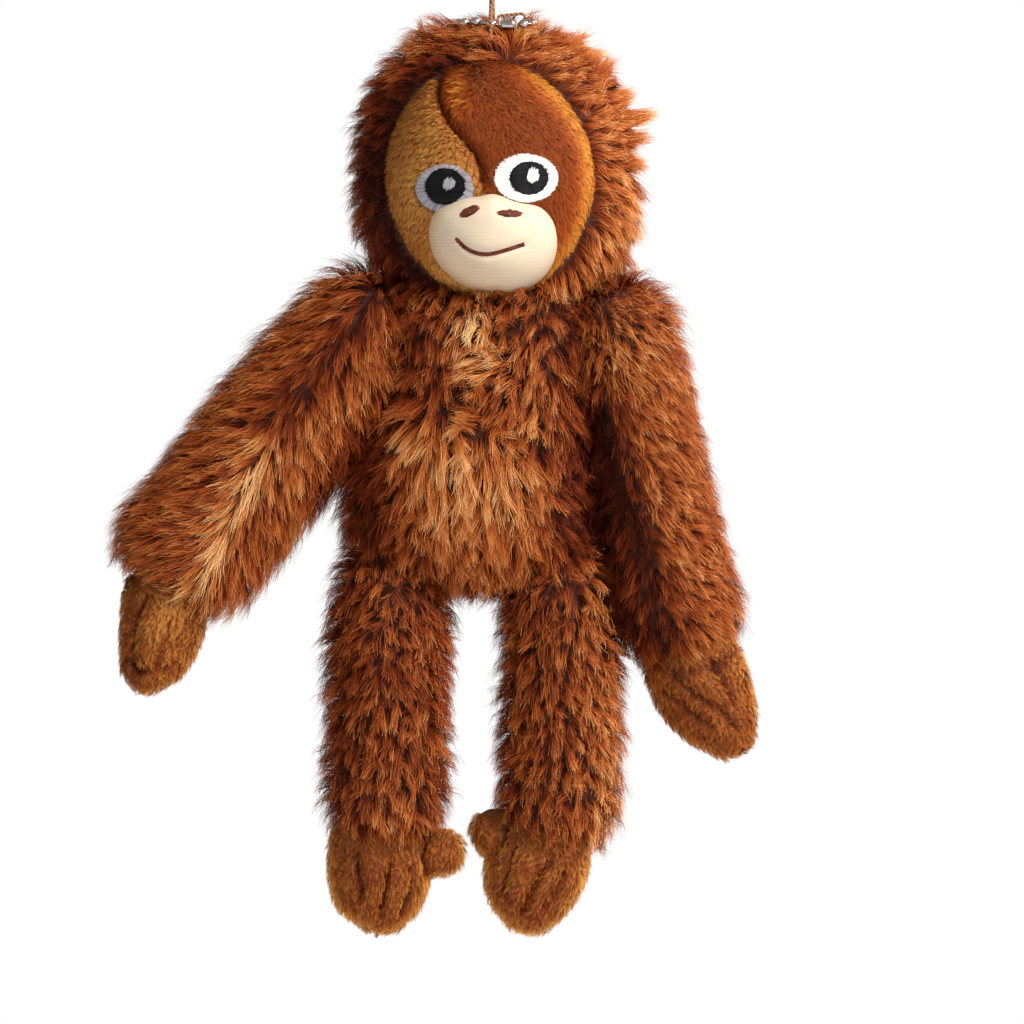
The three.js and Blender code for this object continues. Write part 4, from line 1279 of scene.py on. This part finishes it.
def painted(name, material):
    """A node of the frame, kept as it is, in a new material."""
    node = frame["nodes"][name]
    node.data.materials.clear()
    node.data.materials.append(material)
    return node


def length_of(line):
    return np.linalg.norm(np.diff(line, axis=0), axis=1).sum()


def tube(line, radius, around=8):
    """A round tube along a line, with closed ends."""
    line = np.asarray(line, float)
    tangent = unit(np.gradient(line, axis=0))
    guess = UP if abs(tangent[0][2]) < 0.9 else BACK
    first = unit(np.cross(tangent, guess))
    second = np.cross(tangent, first)
    radius = np.broadcast_to(radius, len(line))
    return ring_mesh(line, first, radius, radius, around, second[:, None])


def hanging():
    line = curve_through(CORD_LINE, 80)
    curve = bpy.data.curves.new("hanging_cord", "CURVE")
    curve.dimensions = "3D"
    curve.bevel_depth = CORD_RADIUS * MM
    curve.bevel_resolution = 4
    curve.use_fill_caps = True
    spline = curve.splines.new("POLY")
    spline.points.add(len(line) - 1)
    spline.points.foreach_set("co", np.c_[line * MM, np.ones(len(line))].ravel())
    curve.materials.append(CORD_CLOTH)
    loop = added("hanging_cord", curve)
    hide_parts("hang_cord")
    rides("head", loop)
    painted("hang_tab", CORD_CLOTH)


def chain():
    line = curve_through(CHAIN_LINE, 600)
    total = length_of(line)
    beads = round(total / BEAD_PITCH)
    shapes = []
    for k in range(beads):
        at = line[int((k + 0.5) / beads * (len(line) - 1))]
        shapes.append(ball(at, (BEAD, BEAD, BEAD), around=18, rows=12))
    shapes.append(tube(line[::6], 0.3))
    beaded = make_object("beaded_chain", *joined(shapes), NICKEL)
    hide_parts("ball_chain")
    clasp = painted("chain_connector", NICKEL)
    rides("key_chain", beaded)


head()
face()
muzzle()
eyes()
mouth()
torso()
for side in SIDES:
    arm(side)
    leg(side)
    hand(side)
    foot(side)
hanging()
chain()


# Studio

KEY_POWER = 31.5
RIM_POWER = 8.0
SKY_LEFT = (0.23, 0.215, 0.21)
SKY_RIGHT = (0.46, 0.44, 0.4)
# Where the sky is white: place from nadir to zenith, and share
BRIGHT_BAND = [(0, 0), (0.4, 0), (0.44, 1), (0.56, 1), (0.6, 0), (1, 0)]
FLOOR_HALF = 600
FLOOR_DROP = 70  # below the foot
LENS = 700.0
PICTURE_WIDTH = 245.8
PICTURE_CENTRE = (4.8, -130.1)


def floor_material():
    s = Shader("floor")
    mottle = s.noise(3.0)
    colour = s.ramp(mottle, [(0.2, (236, 236, 236)), (0.8, (246, 246, 246))])
    return s.finish(colour, 0.8, 0.95, mottle, mottle, 0.0001)


def lay_floor():
    corners = [[x * FLOOR_HALF, y * FLOOR_HALF, 0] for x, y in ((-1, -1), (1, -1), (1, 1), (-1, 1))]
    floor = make_object("floor", corners, np.array([[0, 1, 2, 3]]), floor_material())
    floor.location = (0, 0, (node_box("foot_left_sole")[0][2] - FLOOR_DROP) * MM)


def paint_sky():
    """A sky that goes from left to right, with a white band round the horizon."""
    world = bpy.data.worlds.new("studio")
    world.use_nodes = True
    bpy.context.scene.world = world
    tree = world.node_tree
    add, link = tree.nodes.new, tree.links.new
    split = add("ShaderNodeSeparateXYZ")
    link(add("ShaderNodeTexCoord").outputs["Generated"], split.inputs[0])
    colours = {}
    for axis, stops in (
        ("Z", [(place, (share, share, share, 1)) for place, share in BRIGHT_BAND]),
        ("X", [(0, (*SKY_LEFT, 1)), (1, (*SKY_RIGHT, 1))]),
    ):
        spread, ramp = add("ShaderNodeMapRange"), add("ShaderNodeValToRGB")
        link(split.outputs[axis], spread.inputs["Value"])
        spread.inputs["From Min"].default_value = -1
        link(spread.outputs["Result"], ramp.inputs["Fac"])
        set_ramp(ramp, stops)
        colours[axis] = ramp.outputs["Color"]
    blend = add("ShaderNodeMix")
    blend.data_type = "RGBA"
    link(colours["Z"], blend.inputs["Factor"])
    link(colours["X"], blend.inputs["A"])
    blend.inputs["B"].default_value = (1, 1, 1, 1)
    link(blend.outputs["Result"], tree.nodes["Background"].inputs["Color"])


def place_lights():
    target = Vector((0, 0, -0.12))
    for name, place, power, size, colour in (
        ("key", (0.85, -0.95, 0.75), KEY_POWER, 0.35, (1.0, 0.96, 0.9)),
        ("rim", (0.9, 0.5, 0.5), RIM_POWER, 0.4, (1.0, 0.97, 0.92)),
    ):
        light = bpy.data.lights.new(name, "AREA")
        light.energy, light.size, light.color = power, size, colour
        lamp = added(name, light)
        lamp.location = place
        lamp.rotation_euler = (target - lamp.location).to_track_quat("-Z", "Y").to_euler()


def place_camera():
    camera = bpy.data.cameras.new("front")
    camera.lens = LENS
    camera.clip_end = 20
    eye = added("front", camera)
    distance = PICTURE_WIDTH / camera.sensor_width * LENS
    eye.location = (PICTURE_CENTRE[0] * MM, -distance * MM, PICTURE_CENTRE[1] * MM)
    eye.rotation_euler = (math.pi / 2, 0, 0)
    bpy.context.scene.camera = eye


bpy.context.scene.view_settings.view_transform = "Standard"
lay_floor()
paint_sky()
place_lights()
place_camera()
